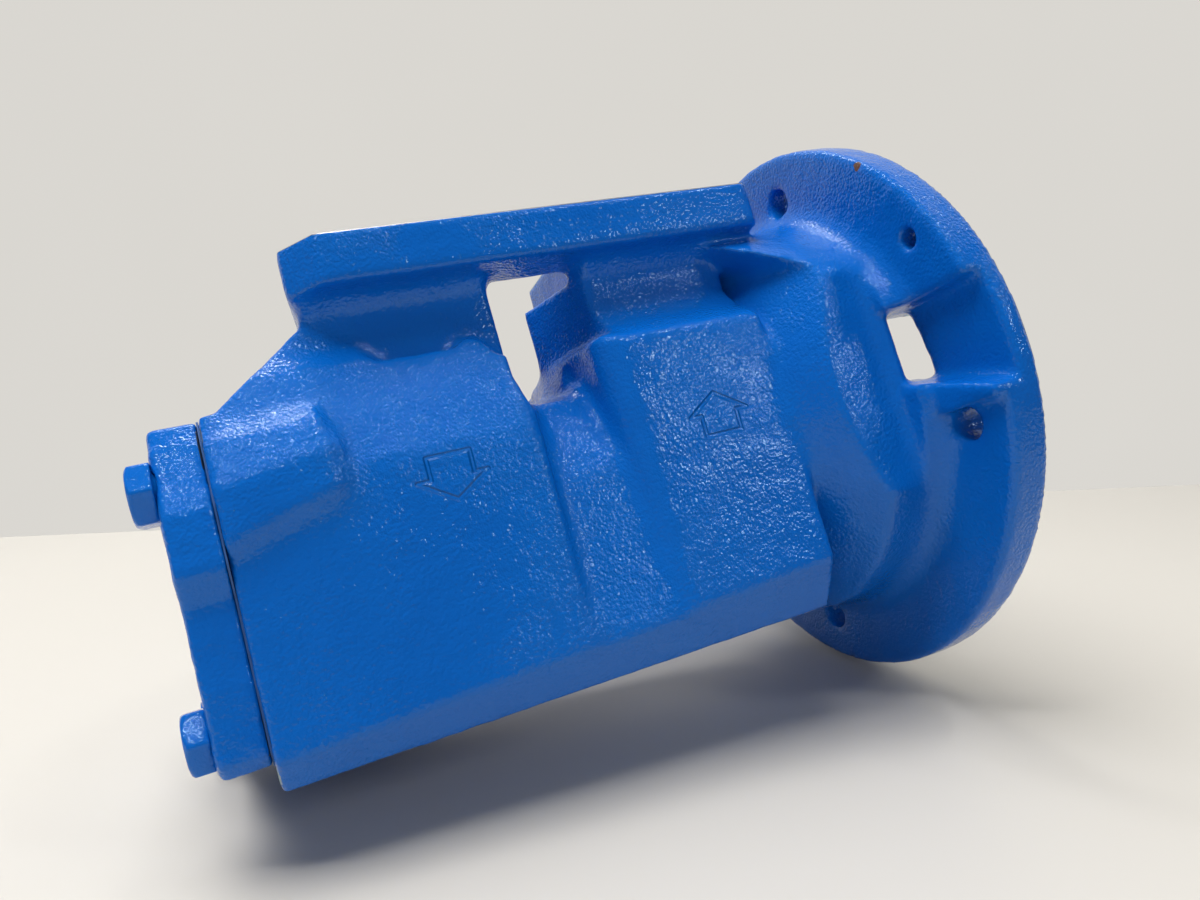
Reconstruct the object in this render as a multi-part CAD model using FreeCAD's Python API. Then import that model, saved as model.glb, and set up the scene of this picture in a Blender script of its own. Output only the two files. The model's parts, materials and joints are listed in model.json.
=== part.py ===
import FreeCAD, Part
import math
import os

# Three-screw pump with its drive lantern, mounting flange and port plate cast in one body.
# Millimetres. Origin: centre of the mounting face. +X points out of that face towards the
# driver, so the pump reaches back along -X. +Z points up to the port plate.

Vec = FreeCAD.Vector

# Mounting flange and spigot
flange_r = 100.0
flange_t = 14.0
flange_edge_round = 1.5
flange_bolt_circle_r = 82.5
flange_hole_r = 5.5
flange_hole_count = 4
flange_hole_start = 16.0       # degrees below the horizontal on the near side
jack_hole_r = 3.4
jack_hole_circle_r = 89.0
jack_hole_angle = 26.0
spigot_r = 65.0
spigot_h = 4.0

# Drive lantern between flange and pump chambers
lantern_r = 72.5
lantern_mouth_r = 56.0
lantern_rear_x = -35.0
lantern_fillet = 9.0
lantern_flat_y = 62.0
lantern_floor_x = -50.0
lantern_step_x = -40.0
lantern_recess_r = 44.0
cone_end_x = -53.0
cone_end_r = 50.0
drain_half_h = 17.0
drain_floor_x = -7.5
drain_rear_x = -18.0
brow_end_x = -64.0
brow_slope = 0.8               # fall of the brow's under edge, z per x

# Pump chambers
body_rear_x = -229.5
side_y = 48.0
bottom_z = -67.5
bottom_flat_y = 40.0
side_low_z = -59.5
front_side_low_z = -51.5
front_flat_y = 36.0
rear_shoulder_z = 43.0
rear_curve_z = 0.0             # height at which the rear chamber's side starts to lean in
front_shoulder_z = 33.0
neck_y = 31.5
saddle_r = 18.0                # round dip in the rear chamber's shoulders
saddle_low_z = 37.0
valley_rear_x = -139.0
valley_front_x = -113.0
valley_wall_run = 9.0          # length along X of the valley's sloping rear wall
valley_column_r = 9.0          # rounding of the front chamber beside the valley
valley_top_depth = 13.0
valley_low_depth = 1.0
window_rear_x = -138.0
window_front_x = -115.0
window_floor_z = 29.5
neck_rear_top_x = -197.0
neck_rear_low_x = -223.0
neck_rear_low_z = 36.5

# Port plate
plate_rear_x = -199.0
plate_front_x = -40.0
plate_half_w = 46.0
plate_top_z = 80.0
plate_t = 15.5
plate_corner = 10.5
port_r = 16.0
inlet_x = -166.0
outlet_x = -78.0
port_bolt_dx = 30.2
port_bolt_dy = 58.7
port_bolt_r = 4.25
port_bolt_depth = 17.0
arrow_line = 1.2               # raised lines of the flow arrows
arrow_rise = 0.5
arrow_w = 17.0
arrow_h = 14.0

# Cored passages
passage_half_w = 20.0
passage_top_z = 51.0

# Rear cover and its bosses
cover_t = 13.0
cover_top_z = 34.0
cover_bottom_z = -60.0
boss_y = 50.0
boss_front_x = -195.0
waist_y = 45.5
gasket_t = 0.5
cover_bolt_r = 5.0
cover_bolt_clear = 0.5
cover_bolt_upper = (38.5, 16.0)
cover_bolt_lower = (34.5, -49.0)
cover_bolt_across_flats = 16.0
cover_bolt_head_h = 6.4
cover_bolt_reach = 18.0

# Screw set: one power rotor between two idlers, two starts each
pitch_r = 11.4
power_tip_r = 19.0
rotor_lead = 76.0
rotor_gap = 0.2                # gap at the root lands of meshing rotors
rotor_backlash = 1.0           # degrees that each flank is turned in
bore_gap = 0.08                # radial gap of each rotor in the liner
tip_share = 0.5                # share of the lands that the power rotor's tips take
liner_rear_x = -200.0
liner_front_x = -92.0
liner_wall = 3.4
liner_seat_gap = 0.05
power_neck_r = 13.95
journal_r = 10.0
journal_gap = 0.05
idler_journal_r = 3.4
idler_journal_len = 5.5
rotor_end_gap = 0.5

# Suction end: thrust plate and its bushes
thrust_plate_t = 9.0
bush_r = 7.0
suction_eye_r = 13.5
rotor_centre_r = 9.0
rotor_centre_len = 5.0

# Discharge end: bearing, cover and shaft seal
discharge_wall_x = -74.0
discharge_wall_t = 4.0
balance_bush_r = 16.0
bearing_outer_r = 23.5
bearing_width = 14.0
bearing_ball_r = 3.97
bearing_ball_count = 8
bearing_pitch_r = 16.75
bearing_ball_gap = 0.05
race_land = 1.6                # half the gap between the races' shoulders
cage_wall = 2.0
cage_half_w = 5.2
clip_depth = 1.0
clip_t = 1.5
front_cover_r = 40.0
front_cover_t = 8.0
front_cover_nose_r = 25.0
front_cover_nose_x = -31.0
front_screw_circle_r = 33.5
front_screw_r = 3.0
front_screw_count = 6
front_screw_depth = 12.0
seal_chamber_r = 18.0
seal_seat_r = 15.0
seal_seat_t = 6.0
seal_lip_t = 2.0
seal_face_gap = 0.05
seal_face_t = 4.0
seal_carrier_t = 4.0
seal_spring_r = 12.0
seal_wire = 1.2
seal_spring_turns = 2.5
shaft_end_r = 9.5
shaft_end_x = -3.0
shaft_pass_gap = 0.6
key_w = 6.0
key_h = 6.0
key_len = 22.0
key_depth = 3.5

# Relief valve below the screws
valve_z = -45.0
valve_bore_r = 9.0
valve_seat_x = -112.0
valve_seat_r = 6.0
valve_gap = 0.05
valve_face_gap = 0.05
valve_piston_len = 16.0
valve_cup_depth = 9.0
valve_plug_r = 10.5
valve_plug_head_r = 12.5
valve_plug_head_t = 3.2
valve_washer_t = 0.8
valve_screw_r = 5.0
valve_screw_sunk = 4.0         # depth of the adjusting screw's end below the plug's face
valve_socket = 5.0
valve_spring_r = 5.8
spring_wire = 2.4
spring_turns = 7
spring_plate_t = 3.0
spring_plate_x = -205.0


# Small geometry helpers

def cyl(radius, x0, x1, y=0.0, z=0.0):
    """Round bar along X."""
    return Part.makeCylinder(radius, x1 - x0, Vec(x0, y, z), Vec(1, 0, 0))


def post(radius, z0, z1, x, y):
    """Round bar along Z."""
    return Part.makeCylinder(radius, z1 - z0, Vec(x, y, z0), Vec(0, 0, 1))


def box(x0, x1, y0, y1, z0, z1):
    return Part.makeBox(x1 - x0, y1 - y0, z1 - z0, Vec(x0, y0, z0))


def tube(outer, inner, x0, x1, y=0.0, z=0.0):
    return cyl(outer, x0, x1, y, z).cut(cyl(inner, x0 - 1, x1 + 1, y, z))


def mirrored(shape):
    """The same shape on the far side."""
    return shape.mirror(Vec(0, 0, 0), Vec(0, 1, 0))


def both_sides(shape):
    return shape.fuse(mirrored(shape))


def fuse_all(shapes):
    return shapes[0].multiFuse(shapes[1:])


def corner_arc(before, corner, after, radius):
    """Tangent points and mid point of the round at a corner."""
    to_before = (before - corner).normalize()
    to_after = (after - corner).normalize()
    half = to_before.getAngle(to_after) / 2
    reach = radius / math.tan(half)
    middle = (to_before + to_after).normalize()
    centre = corner + middle * (radius / math.sin(half))
    return corner + to_before * reach, centre - middle * radius, corner + to_after * reach


def outline(points, place):
    """Closed wire through (u, v, radius) corners, with a tangent arc at each radius."""
    corners = [place(p[0], p[1]) for p in points]
    count = len(points)
    runs = []
    for i in range(count):
        radius = points[i][2]
        if radius > 0:
            start, mid, end = corner_arc(corners[i - 1], corners[i], corners[(i + 1) % count], radius)
            runs.append((start, mid, end))
        else:
            runs.append((corners[i], None, corners[i]))
    edges = []
    for i in range(count):
        start, mid, end = runs[i]
        if mid is not None:
            edges.append(Part.Arc(start, mid, end).toShape())
        following = runs[(i + 1) % count][0]
        if end.distanceToPoint(following) > 1e-6:
            edges.append(Part.LineSegment(end, following).toShape())
    return Part.Wire(edges)


def across(x):
    """Places (y, z) corners in the plane at x."""
    return lambda y, z: Vec(x, y, z)


def along(y):
    """Places (x, z) corners in the plane at y."""
    return lambda x, z: Vec(x, y, z)


def two_sided(half):
    """A whole (y, z) outline from the corners of its +Y half, bottom to top."""
    return half + [(-y, z, r) for y, z, r in reversed(half) if y > 0]


def bar_x(points, x0, x1):
    """Solid of one (y, z) outline from x0 to x1."""
    return Part.Face(outline(points, across(x0))).extrude(Vec(x1 - x0, 0, 0))


def bar_y(points, y0, y1):
    """Solid of one (x, z) outline from y0 to y1."""
    return Part.Face(outline(points, along(y0))).extrude(Vec(0, y1 - y0, 0))


def turned(points, y=0.0, z=0.0):
    """Solid turned about the X direction from (x, radius, round) corners."""
    face = Part.Face(outline(points, lambda x, r: Vec(x, y, z + r)))
    return face.revolve(Vec(0, y, z), Vec(1, 0, 0), 360)


def hexagon(across_flats, x0, x1, y, z):
    """Hexagonal bar along X with a flat on top."""
    corner_r = across_flats / math.sqrt(3)
    angles = [math.radians(60 * i) for i in range(6)]
    points = [(y + corner_r * math.cos(a), z + corner_r * math.sin(a), 0) for a in angles]
    return bar_x(points, x0, x1)


def ring_places(count, radius, start):
    """(y, z) of evenly spaced places on a circle, counted from the near side upwards."""
    angles = [math.radians(start + 360.0 * i / count) for i in range(count)]
    return [(-radius * math.cos(a), radius * math.sin(a)) for a in angles]


def four_corners(upper, lower):
    return [(side * p[0], p[1]) for p in (upper, lower) for side in (1, -1)]


# Casting

def flange():
    return turned([(0, 0, 0), (0, flange_r, 1.0), (-flange_t, flange_r, flange_edge_round), (-flange_t, 0, 0)])


def lantern():
    """Bell behind the flange: fillet, cylinder and cone, with a flat on each side."""
    bell = turned([(-flange_t + 1, 0, 0), (-flange_t + 1, lantern_r + lantern_fillet, 0),
                   (-flange_t, lantern_r + lantern_fillet, 0), (-flange_t, lantern_r, lantern_fillet - 0.5),
                   (lantern_rear_x, lantern_r, 2.5), (cone_end_x, cone_end_r, 3.0),
                   (cone_end_x - 4, cone_end_r - 2, 0), (cone_end_x - 4, 0, 0)])
    flat = box(cone_end_x - 5, -flange_t - lantern_fillet + 1.5, lantern_flat_y, lantern_r + 5,
               -lantern_r, lantern_r)
    return bell.cut(both_sides(flat))


def brow():
    """Part of the bell that reaches back over the outlet chamber, up to the plate."""
    rim = cyl(lantern_r, brow_end_x, lantern_rear_x + 2)
    low_z = math.sqrt(lantern_r ** 2 - lantern_flat_y ** 2) + 2
    run = lantern_rear_x + 2 - brow_end_x
    wedge = bar_y([(lantern_rear_x + 2, low_z, 0), (lantern_rear_x + 2, plate_top_z, 0),
                   (brow_end_x, plate_top_z, 0), (brow_end_x, low_z + brow_slope * run, 0)],
                  -lantern_r, lantern_r)
    return rim.common(wedge)


def rear_chamber():
    """Suction chamber; its sides lean in at the top and dip below the inlet port."""
    half = [(0, bottom_z, 0), (side_y, bottom_z, 0), (side_y, rear_curve_z, 26.0),
            (side_y - 4.5, rear_shoulder_z - 21, 13.0), (neck_y + 5, rear_shoulder_z, 8.0),
            (neck_y, rear_shoulder_z + 8, 6.0), (neck_y, plate_top_z - plate_t + 1, 0),
            (0, plate_top_z - plate_t + 1, 0)]
    block = bar_x(two_sided(half), body_rear_x, valley_rear_x + valley_wall_run)
    above = bar_y([(body_rear_x - 1, cover_top_z, 0), (neck_rear_low_x - 2, cover_top_z + 0.5, 3.0),
                   (neck_rear_low_x, neck_rear_low_z, 3.0), (neck_rear_top_x, 58.0, 4.0),
                   (neck_rear_top_x, plate_top_z, 0), (body_rear_x - 1, plate_top_z, 0)],
                  -side_y - 5, side_y + 5)
    dip = Part.makeCylinder(saddle_r, 20, Vec(inlet_x, neck_y + 0.5, saddle_low_z + saddle_r), Vec(0, 1, 0))
    deep = side_y - 2 * valley_top_depth
    plan = [(body_rear_x - 1, 0, 0), (valley_rear_x + valley_wall_run, 0, 0),
            (valley_rear_x + valley_wall_run, deep, 0), (valley_rear_x, side_y, 1.5),
            (body_rear_x - 1, side_y, 0)]
    block = block.common(plan_bar(plan))
    corner = box(window_rear_x, valley_rear_x + valley_wall_run + 1, -side_y, side_y, window_floor_z, plate_top_z)
    return block.cut([above, corner, dip, mirrored(dip)])


def plan_bar(half):
    """Solid as high as the body whose (x, y) outline has the given +Y half."""
    low = bottom_z - 1
    face = Part.Face(outline(half, lambda x, y: Vec(x, y, low)))
    return both_sides(face.extrude(Vec(0, 0, plate_top_z - low)))


def front_chamber():
    """Discharge chamber; its rear end is a rounded column beside the valley."""
    half = [(0, bottom_z, 0), (side_y, bottom_z, 0), (side_y, front_shoulder_z, 5.0),
            (neck_y + 5, front_shoulder_z + 7, 6.0), (neck_y, front_shoulder_z + 14, 6.0),
            (neck_y, plate_top_z - plate_t + 1, 0), (0, plate_top_z - plate_t + 1, 0)]
    plan = [(valley_front_x, 0, 0), (valley_front_x, side_y, valley_column_r), (cone_end_x, side_y, 0),
            (cone_end_x, 0, 0)]
    return bar_x(two_sided(half), valley_front_x, cone_end_x).common(plan_bar(plan))


def waist():
    """Narrower stretch that joins the two chambers under the window."""
    half = [(0, bottom_z, 0), (side_y - valley_low_depth, bottom_z, 0),
            (side_y - valley_low_depth, side_low_z + 4, 8.0), (side_y - valley_low_depth - 4.5, -5.0, 30.0),
            (side_y - valley_top_depth, window_floor_z - 10, 7.0), (neck_y - 8, window_floor_z, 6.0),
            (0, window_floor_z, 0)]
    return bar_x(two_sided(half), valley_rear_x - 1, valley_front_x + valley_column_r)


def keel_cut():
    """What the sloping lower edges leave away; they rise towards the flange."""
    def corner(x, flat_y, side_z):
        over = 6.0
        run, rise = side_y - flat_y, side_z - bottom_z
        return outline([(flat_y - over * run / rise, bottom_z - over, 0),
                        (side_y + over * run / rise, side_z + over, 0),
                        (side_y + 3 * over, bottom_z - over, 0)], across(x))
    wires = [corner(body_rear_x - 1, bottom_flat_y, side_low_z),
             corner(cone_end_x + 1, front_flat_y, front_side_low_z)]
    return both_sides(Part.makeLoft(wires, True, True))


def flow_arrow(x, z, up):
    """Raised outline of a house-shaped arrow on the near side."""
    w, h = arrow_w / 2, arrow_h / 2
    marks = [((-w, 0.15 * h), (0, h)), ((w, 0.15 * h), (0, h)), ((-0.6 * w, 0.4 * h), (-0.6 * w, -h)),
             ((0.6 * w, 0.4 * h), (0.6 * w, -h)), ((-0.6 * w, -h), (0.6 * w, -h))]
    lines = []
    for start, end in marks:
        a, b = (Vec(x + p[0], 0, z + up * p[1]) for p in (start, end))
        run = b - a
        line = Part.makeBox(run.Length, 2 + arrow_rise, arrow_line, Vec(0, 0, -arrow_line / 2))
        line.rotate(Vec(0, 0, 0), Vec(0, 1, 0), -math.degrees(math.atan2(run.z, run.x)))
        line.translate(Vec(a.x, -side_y - arrow_rise, a.z))
        lines.append(line)
    return lines


def port_plate():
    x0, x1, w, c = plate_rear_x, plate_front_x, plate_half_w, plate_corner
    points = [(x0 + c, -w, 0), (x1 - 3, -w, 0), (x1, -w + 3, 0), (x1, w - 3, 0),
              (x1 - 3, w, 0), (x0 + c, w, 0), (x0, w - c, 0), (x0, -w + c, 0)]
    face = Part.Face(outline(points, lambda x, y: Vec(x, y, plate_top_z - plate_t)))
    return face.extrude(Vec(0, 0, plate_t))


def plate_neck():
    """Flared root under the plate, one for each chamber."""
    low = plate_top_z - plate_t - 7
    half = [(0, low, 0), (neck_y - 1, low, 0), (neck_y + 7, plate_top_z - plate_t + 1, 0),
            (0, plate_top_z - plate_t + 1, 0)]
    rear = bar_x(two_sided(half), neck_rear_top_x + 1, window_rear_x - 1)
    front = bar_x(two_sided(half), window_front_x + 1, plate_front_x - 8)
    return rear.fuse(front)


def cover_outline(bottom):
    """(y, z) outline that the rear cover and the body's bolt bosses share."""
    return [(0, bottom, 0), (bottom_flat_y + 1, bottom, 1.0), (waist_y - 1.0, bottom + 3.5, 2.0),
            (waist_y, -38.0, 8.0), (waist_y, -16.0, 8.0), (boss_y, -8.0, 4.0), (boss_y - 1.0, 8.0, 2.0),
            (41.0, 26.0, 2.0), (36.0, cover_top_z, 1.5), (0, cover_top_z, 0)]


def bolt_boss():
    """Tapering boss beside the rear face that takes an upper cover bolt."""
    rear = [(20, -3, 0), (side_y - 2, -3, 0), (boss_y, 1.0, 0), (boss_y - 1.0, 11.0, 0), (41.0, 26.0, 0),
            (36.0, cover_top_z, 0), (20, cover_top_z, 0)]
    front = [(20, 3, 0), (side_y - 2, 3, 0), (boss_y, 6.0, 0), (boss_y - 0.5, 18.0, 0), (43.0, 26.0, 0),
             (36.0, cover_top_z - 0.5, 0), (20, cover_top_z - 0.5, 0)]
    wires = [outline(rear, across(body_rear_x)), outline(front, across(boss_front_x))]
    return both_sides(Part.makeLoft(wires, True, True))


def liner_outline(grow):
    """Hull of the three rotor bores, as an outline of tangent lines and arcs."""
    big = power_tip_r + liner_wall + grow
    small = pitch_r + liner_wall + grow
    centre = 2 * pitch_r
    lean = math.acos((big - small) / centre)
    c, s = math.cos(lean), math.sin(lean)
    top_r = Vec(0, big * c, big * s)
    top_l = Vec(0, -big * c, big * s)
    side_r = Vec(0, centre + small * c, small * s)
    side_l = Vec(0, -centre - small * c, small * s)
    low = [Vec(0, p.y, -p.z) for p in (side_l, top_l, top_r, side_r)]
    edges = [Part.Arc(top_l, Vec(0, 0, big), top_r), Part.LineSegment(top_r, side_r),
             Part.Arc(side_r, Vec(0, centre + small, 0), low[3]), Part.LineSegment(low[3], low[2]),
             Part.Arc(low[2], Vec(0, 0, -big), low[1]), Part.LineSegment(low[1], low[0]),
             Part.Arc(low[0], Vec(0, -centre - small, 0), side_l), Part.LineSegment(side_l, top_l)]
    return Part.Wire([e.toShape() for e in edges])


def liner_bar(grow, x0, x1):
    bar = Part.Face(liner_outline(grow)).extrude(Vec(x1 - x0, 0, 0))
    bar.translate(Vec(x0, 0, 0))
    return bar


def inlet_passage():
    """Cored way from the inlet port back and down to the screws' suction end."""
    side = liner_rear_x - thrust_plate_t + 0.5
    points = [(body_rear_x + 8, 0, 0), (body_rear_x + 8, 27, 2.0), (body_rear_x + 15, 34, 4.0),
              (inlet_x - 24, passage_top_z, 6.0), (inlet_x + port_r, passage_top_z, 5.0),
              (inlet_x + port_r, 29, 4.0), (side, 29, 2.0), (side, 0, 0)]
    way = bar_y(points, -passage_half_w, passage_half_w)
    return way.fuse(post(port_r, passage_top_z - 8, plate_top_z + 1, inlet_x, 0))


def outlet_passage():
    """Cored way from the screws' discharge end up to the outlet port."""
    points = [(liner_front_x - 0.5, -16, 0), (liner_front_x - 0.5, 30, 3.0), (outlet_x - port_r, 30, 0),
              (outlet_x - port_r, passage_top_z, 5.0), (outlet_x + port_r, passage_top_z, 5.0),
              (outlet_x + port_r, 31, 4.0), (discharge_wall_x, 29, 3.0), (discharge_wall_x, -16, 2.0)]
    way = bar_y(points, -passage_half_w, passage_half_w)
    return way.fuse(post(port_r, passage_top_z - 8, plate_top_z + 1, outlet_x, 0))


def port_bolt_places():
    return [(x + sx * port_bolt_dx / 2, sy * port_bolt_dy / 2)
            for x in (inlet_x, outlet_x) for sx in (1, -1) for sy in (1, -1)]


def pump_body():
    chambers = fuse_all([rear_chamber(), front_chamber(), waist()]).cut(keel_cut())
    solid = fuse_all([chambers, flange(), lantern(), brow(), port_plate(), plate_neck(), bolt_boss(),
                      cyl(spigot_r, -2, spigot_h)]
                     + flow_arrow(inlet_x, 1.0, -1) + flow_arrow(outlet_x, 2.5, 1))
    window = bar_y([(window_rear_x, plate_top_z - plate_t, 0), (window_front_x, plate_top_z - plate_t, 0),
                    (window_front_x - 4, 38, 3.0), (window_rear_x + 10, window_floor_z, 3.0),
                    (window_rear_x, window_floor_z + 6, 3.0)], -side_y - 5, side_y + 5)
    drain = box(drain_rear_x, drain_floor_x, lantern_mouth_r - 6, flange_r + 5, -drain_half_h, drain_half_h)
    solid = solid.cut(both_sides(drain)).cut(window)
    hollow = [cyl(lantern_mouth_r, lantern_step_x, spigot_h + 1),
              cyl(lantern_recess_r, lantern_floor_x, lantern_step_x + 1),
              cyl(bearing_outer_r, discharge_wall_x + discharge_wall_t, lantern_floor_x + 1),
              cyl(balance_bush_r, discharge_wall_x - 1, discharge_wall_x + discharge_wall_t + 1),
              liner_bar(liner_seat_gap, body_rear_x - 1, liner_front_x),
              inlet_passage(), outlet_passage(),
              cyl(valve_bore_r, body_rear_x - 1, valve_seat_x, z=valve_z),
              cyl(valve_seat_r, valve_seat_x - 1, outlet_x - 4, z=valve_z),
              post(valve_seat_r, valve_z, -10, outlet_x - 7, 0),
              box(body_rear_x + 6, body_rear_x + 18, -5, 5, valve_z, -12)]
    for y, z in ring_places(flange_hole_count, flange_bolt_circle_r, -flange_hole_start):
        hollow.append(cyl(flange_hole_r, -flange_t - lantern_fillet - 4, 1, y, z))
    for y, z in ring_places(2, jack_hole_circle_r, jack_hole_angle):
        hollow.append(cyl(jack_hole_r, -flange_t - 1, 1, y, z))
    for y, z in four_corners(cover_bolt_upper, cover_bolt_lower):
        hollow.append(cyl(cover_bolt_r, body_rear_x - 1, body_rear_x + cover_bolt_reach + 2, y, z))
    for y, z in ring_places(front_screw_count, front_screw_circle_r, 0):
        hollow.append(cyl(front_screw_r, lantern_floor_x - front_screw_depth, lantern_floor_x + 1, y, z))
    for x, y in port_bolt_places():
        hollow.append(post(port_bolt_r, plate_top_z - port_bolt_depth, plate_top_z + 1, x, y))
    return solid.cut(hollow)


# Rear cover, gasket and bolts

def rear_cover():
    back = body_rear_x - gasket_t - cover_t
    plate = bar_x(two_sided(cover_outline(cover_bottom_z)), back, body_rear_x - gasket_t)
    rear_edges = [e for e in plate.Edges if abs(e.BoundBox.XMax - back) < 1e-6]
    plate = plate.makeFillet(1.8, rear_edges)
    skirt = liner_bar(-0.5, body_rear_x - gasket_t, liner_rear_x - thrust_plate_t)
    skirt = skirt.cut(liner_bar(-4.5, body_rear_x - 2, liner_rear_x))
    skirt = skirt.cut(box(body_rear_x - gasket_t, 0, -passage_half_w, passage_half_w, -40, 40))
    cover = plate.fuse(skirt)
    holes = [cyl(cover_bolt_r + cover_bolt_clear, back - 1, body_rear_x, y, z)
             for y, z in four_corners(cover_bolt_upper, cover_bolt_lower)]
    holes.append(cyl(valve_plug_r, back - 1, body_rear_x, z=valve_z))
    holes.append(cyl(valve_plug_head_r, back - 1, back + valve_plug_head_t + valve_washer_t, z=valve_z))
    return cover.cut(holes)


def rear_cover_gasket():
    sheet = bar_x(two_sided(cover_outline(cover_bottom_z)), body_rear_x - gasket_t, body_rear_x)
    holes = [cyl(cover_bolt_r + cover_bolt_clear, body_rear_x - 2, body_rear_x + 1, y, z)
             for y, z in four_corners(cover_bolt_upper, cover_bolt_lower)]
    holes.append(cyl(valve_bore_r + 2, body_rear_x - 2, body_rear_x + 1, z=valve_z))
    holes.append(liner_bar(0.5, body_rear_x - 2, body_rear_x + 1))
    return sheet.cut(holes)


def rear_cover_bolts():
    seat = body_rear_x - gasket_t - cover_t
    top = seat - cover_bolt_head_h
    corner_r = 0.6 * cover_bolt_across_flats
    bolts = []
    for y, z in four_corners(cover_bolt_upper, cover_bolt_lower):
        head = hexagon(cover_bolt_across_flats, top, seat, y, z)
        dome = turned([(top, 0, 0), (top, 0.47 * cover_bolt_across_flats, 0), (top + 1.4, corner_r, 0),
                       (seat, corner_r, 0), (seat, 0, 0)], y, z)
        shank = cyl(cover_bolt_r - 0.02, seat, body_rear_x + cover_bolt_reach, y, z)
        bolts.append(head.common(dome).fuse(shank))
    return bolts


# Screws and their liner

def cycloid_point(tracer_r, turn):
    """Point that the tracer marks on the mating rotor once both have rolled by turn."""
    centre = 2 * pitch_r
    return (centre * math.cos(turn) - tracer_r * math.cos(2 * turn),
            centre * math.sin(turn) - tracer_r * math.sin(2 * turn))


def flank(tracer_r, root_r, tip_r):
    """Polar (angle, radius) points of a flank from root to tip, its angle counted from the root."""
    centre = 2 * pitch_r
    last = math.acos((centre ** 2 + tracer_r ** 2 - tip_r ** 2) / (2 * centre * tracer_r))
    steps = 6
    marks = [cycloid_point(tracer_r, last * i / steps) for i in range(steps + 1)]
    angles = [abs(math.atan2(y, x)) for x, y in marks]
    radii = [math.hypot(x, y) for x, y in marks]
    radii[0], radii[-1] = root_r, tip_r
    return list(zip(angles, radii))


def rotor_outline(root_r, tip_r, side, land, lobe_at, x, y):
    """Two-lobed outline: tip land, flank, root land, flank, twice around."""
    span = side[-1][0]
    def spot(angle, radius):
        return Vec(x, y + radius * math.cos(angle), radius * math.sin(angle))
    edges = []
    for lobe in (0, 1):
        mid = math.radians(lobe_at) + math.pi * lobe
        tip_end = mid + land / 2
        root_start = tip_end + span
        root_end = mid + math.pi - land / 2 - span
        falling = [spot(root_start - a, r) for a, r in reversed(side)]
        rising = [spot(root_end + a, r) for a, r in side]
        tip = [spot(mid + turn, tip_r) for turn in (-land / 2, 0, land / 2)]
        edges.append(Part.Arc(*tip).toShape())
        edges.append(curve(falling))
        edges.append(Part.Arc(falling[-1], spot((root_start + root_end) / 2, root_r), rising[0]).toShape())
        edges.append(curve(rising))
    return Part.Wire(edges)


def curve(points):
    spline = Part.BSplineCurve()
    spline.interpolate(points)
    return spline.toShape()


def screw_bar(profile, x0, x1, y, left_handed):
    """Outline carried along X while it turns once per lead."""
    spine = Part.Wire([Part.makeLine(Vec(x0, y, 0), Vec(x1, y, 0))])
    guide = Part.makeHelix(rotor_lead, x1 - x0, power_tip_r, 0, left_handed)
    guide.rotate(Vec(0, 0, 0), Vec(0, 1, 0), 90)
    guide.translate(Vec(x0, y, 0))
    pipe = Part.BRepOffsetAPI.MakePipeShell(spine)
    pipe.setAuxiliarySpine(Part.Wire(guide.Edges), True, 0)
    pipe.add(profile)
    pipe.build()
    pipe.makeSolid()
    return pipe.shape()


# Angles that the flanks and lands take on the two kinds of rotor
power_flank = flank(pitch_r, pitch_r - rotor_gap, power_tip_r)
idler_flank = flank(power_tip_r, 2 * pitch_r - power_tip_r - rotor_gap, pitch_r)
backlash = math.radians(rotor_backlash)
land_total = math.pi - 2 * power_flank[-1][0]
power_land = land_total * tip_share - 2 * backlash
idler_land = land_total * (1 - tip_share) - 2 * backlash
screw_rear_x = liner_rear_x + rotor_end_gap
screw_front_x = liner_front_x - rotor_end_gap


def rotor_liner():
    block = liner_bar(0, liner_rear_x, liner_front_x)
    bores = [cyl(power_tip_r + bore_gap, liner_rear_x - 1, liner_front_x + 1)]
    for side in (1, -1):
        bores.append(cyl(pitch_r + bore_gap, liner_rear_x - 1, liner_front_x + 1, 2 * pitch_r * side))
    return block.cut(bores)


def power_rotor():
    root = pitch_r - rotor_gap
    profile = rotor_outline(root, power_tip_r, power_flank, power_land, 0, screw_rear_x, 0)
    screw = screw_bar(profile, screw_rear_x, screw_front_x, 0, False)
    neck_x = liner_front_x + 1.5
    race_x = discharge_wall_x + discharge_wall_t
    clip_x = race_x + bearing_width
    end_x = front_cover_nose_x - 2
    shaft = turned([(screw_front_x - 1, 0, 0), (screw_front_x - 1, root - 0.3, 0), (neck_x, root - 0.3, 0),
                    (neck_x, power_neck_r, 0), (race_x, power_neck_r, 0), (race_x, journal_r, 0),
                    (clip_x, journal_r, 0), (clip_x, journal_r - clip_depth, 0),
                    (clip_x + clip_t, journal_r - clip_depth, 0), (clip_x + clip_t, journal_r, 0),
                    (end_x, journal_r, 0), (end_x, shaft_end_r, 0), (shaft_end_x - 1, shaft_end_r, 0),
                    (shaft_end_x, shaft_end_r - 1, 0), (shaft_end_x, 0, 0)])
    centre_x = screw_rear_x - rotor_centre_len
    stub = turned([(screw_rear_x + 1, 0, 0), (screw_rear_x + 1, rotor_centre_r, 0),
                   (centre_x + 1, rotor_centre_r, 0), (centre_x, rotor_centre_r - 1, 0), (centre_x, 0, 0)])
    return screw.fuse([shaft, stub]).cut(shaft_key())


def shaft_key():
    """Round-ended key on top of the shaft end."""
    x1 = shaft_end_x - 4
    x0 = x1 - key_len
    half = key_w / 2
    round_end = half - 0.01
    points = [(x0, -half, round_end), (x1, -half, round_end), (x1, half, round_end), (x0, half, round_end)]
    face = Part.Face(outline(points, lambda x, y: Vec(x, y, shaft_end_r - key_depth)))
    return face.extrude(Vec(0, 0, key_h))


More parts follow.
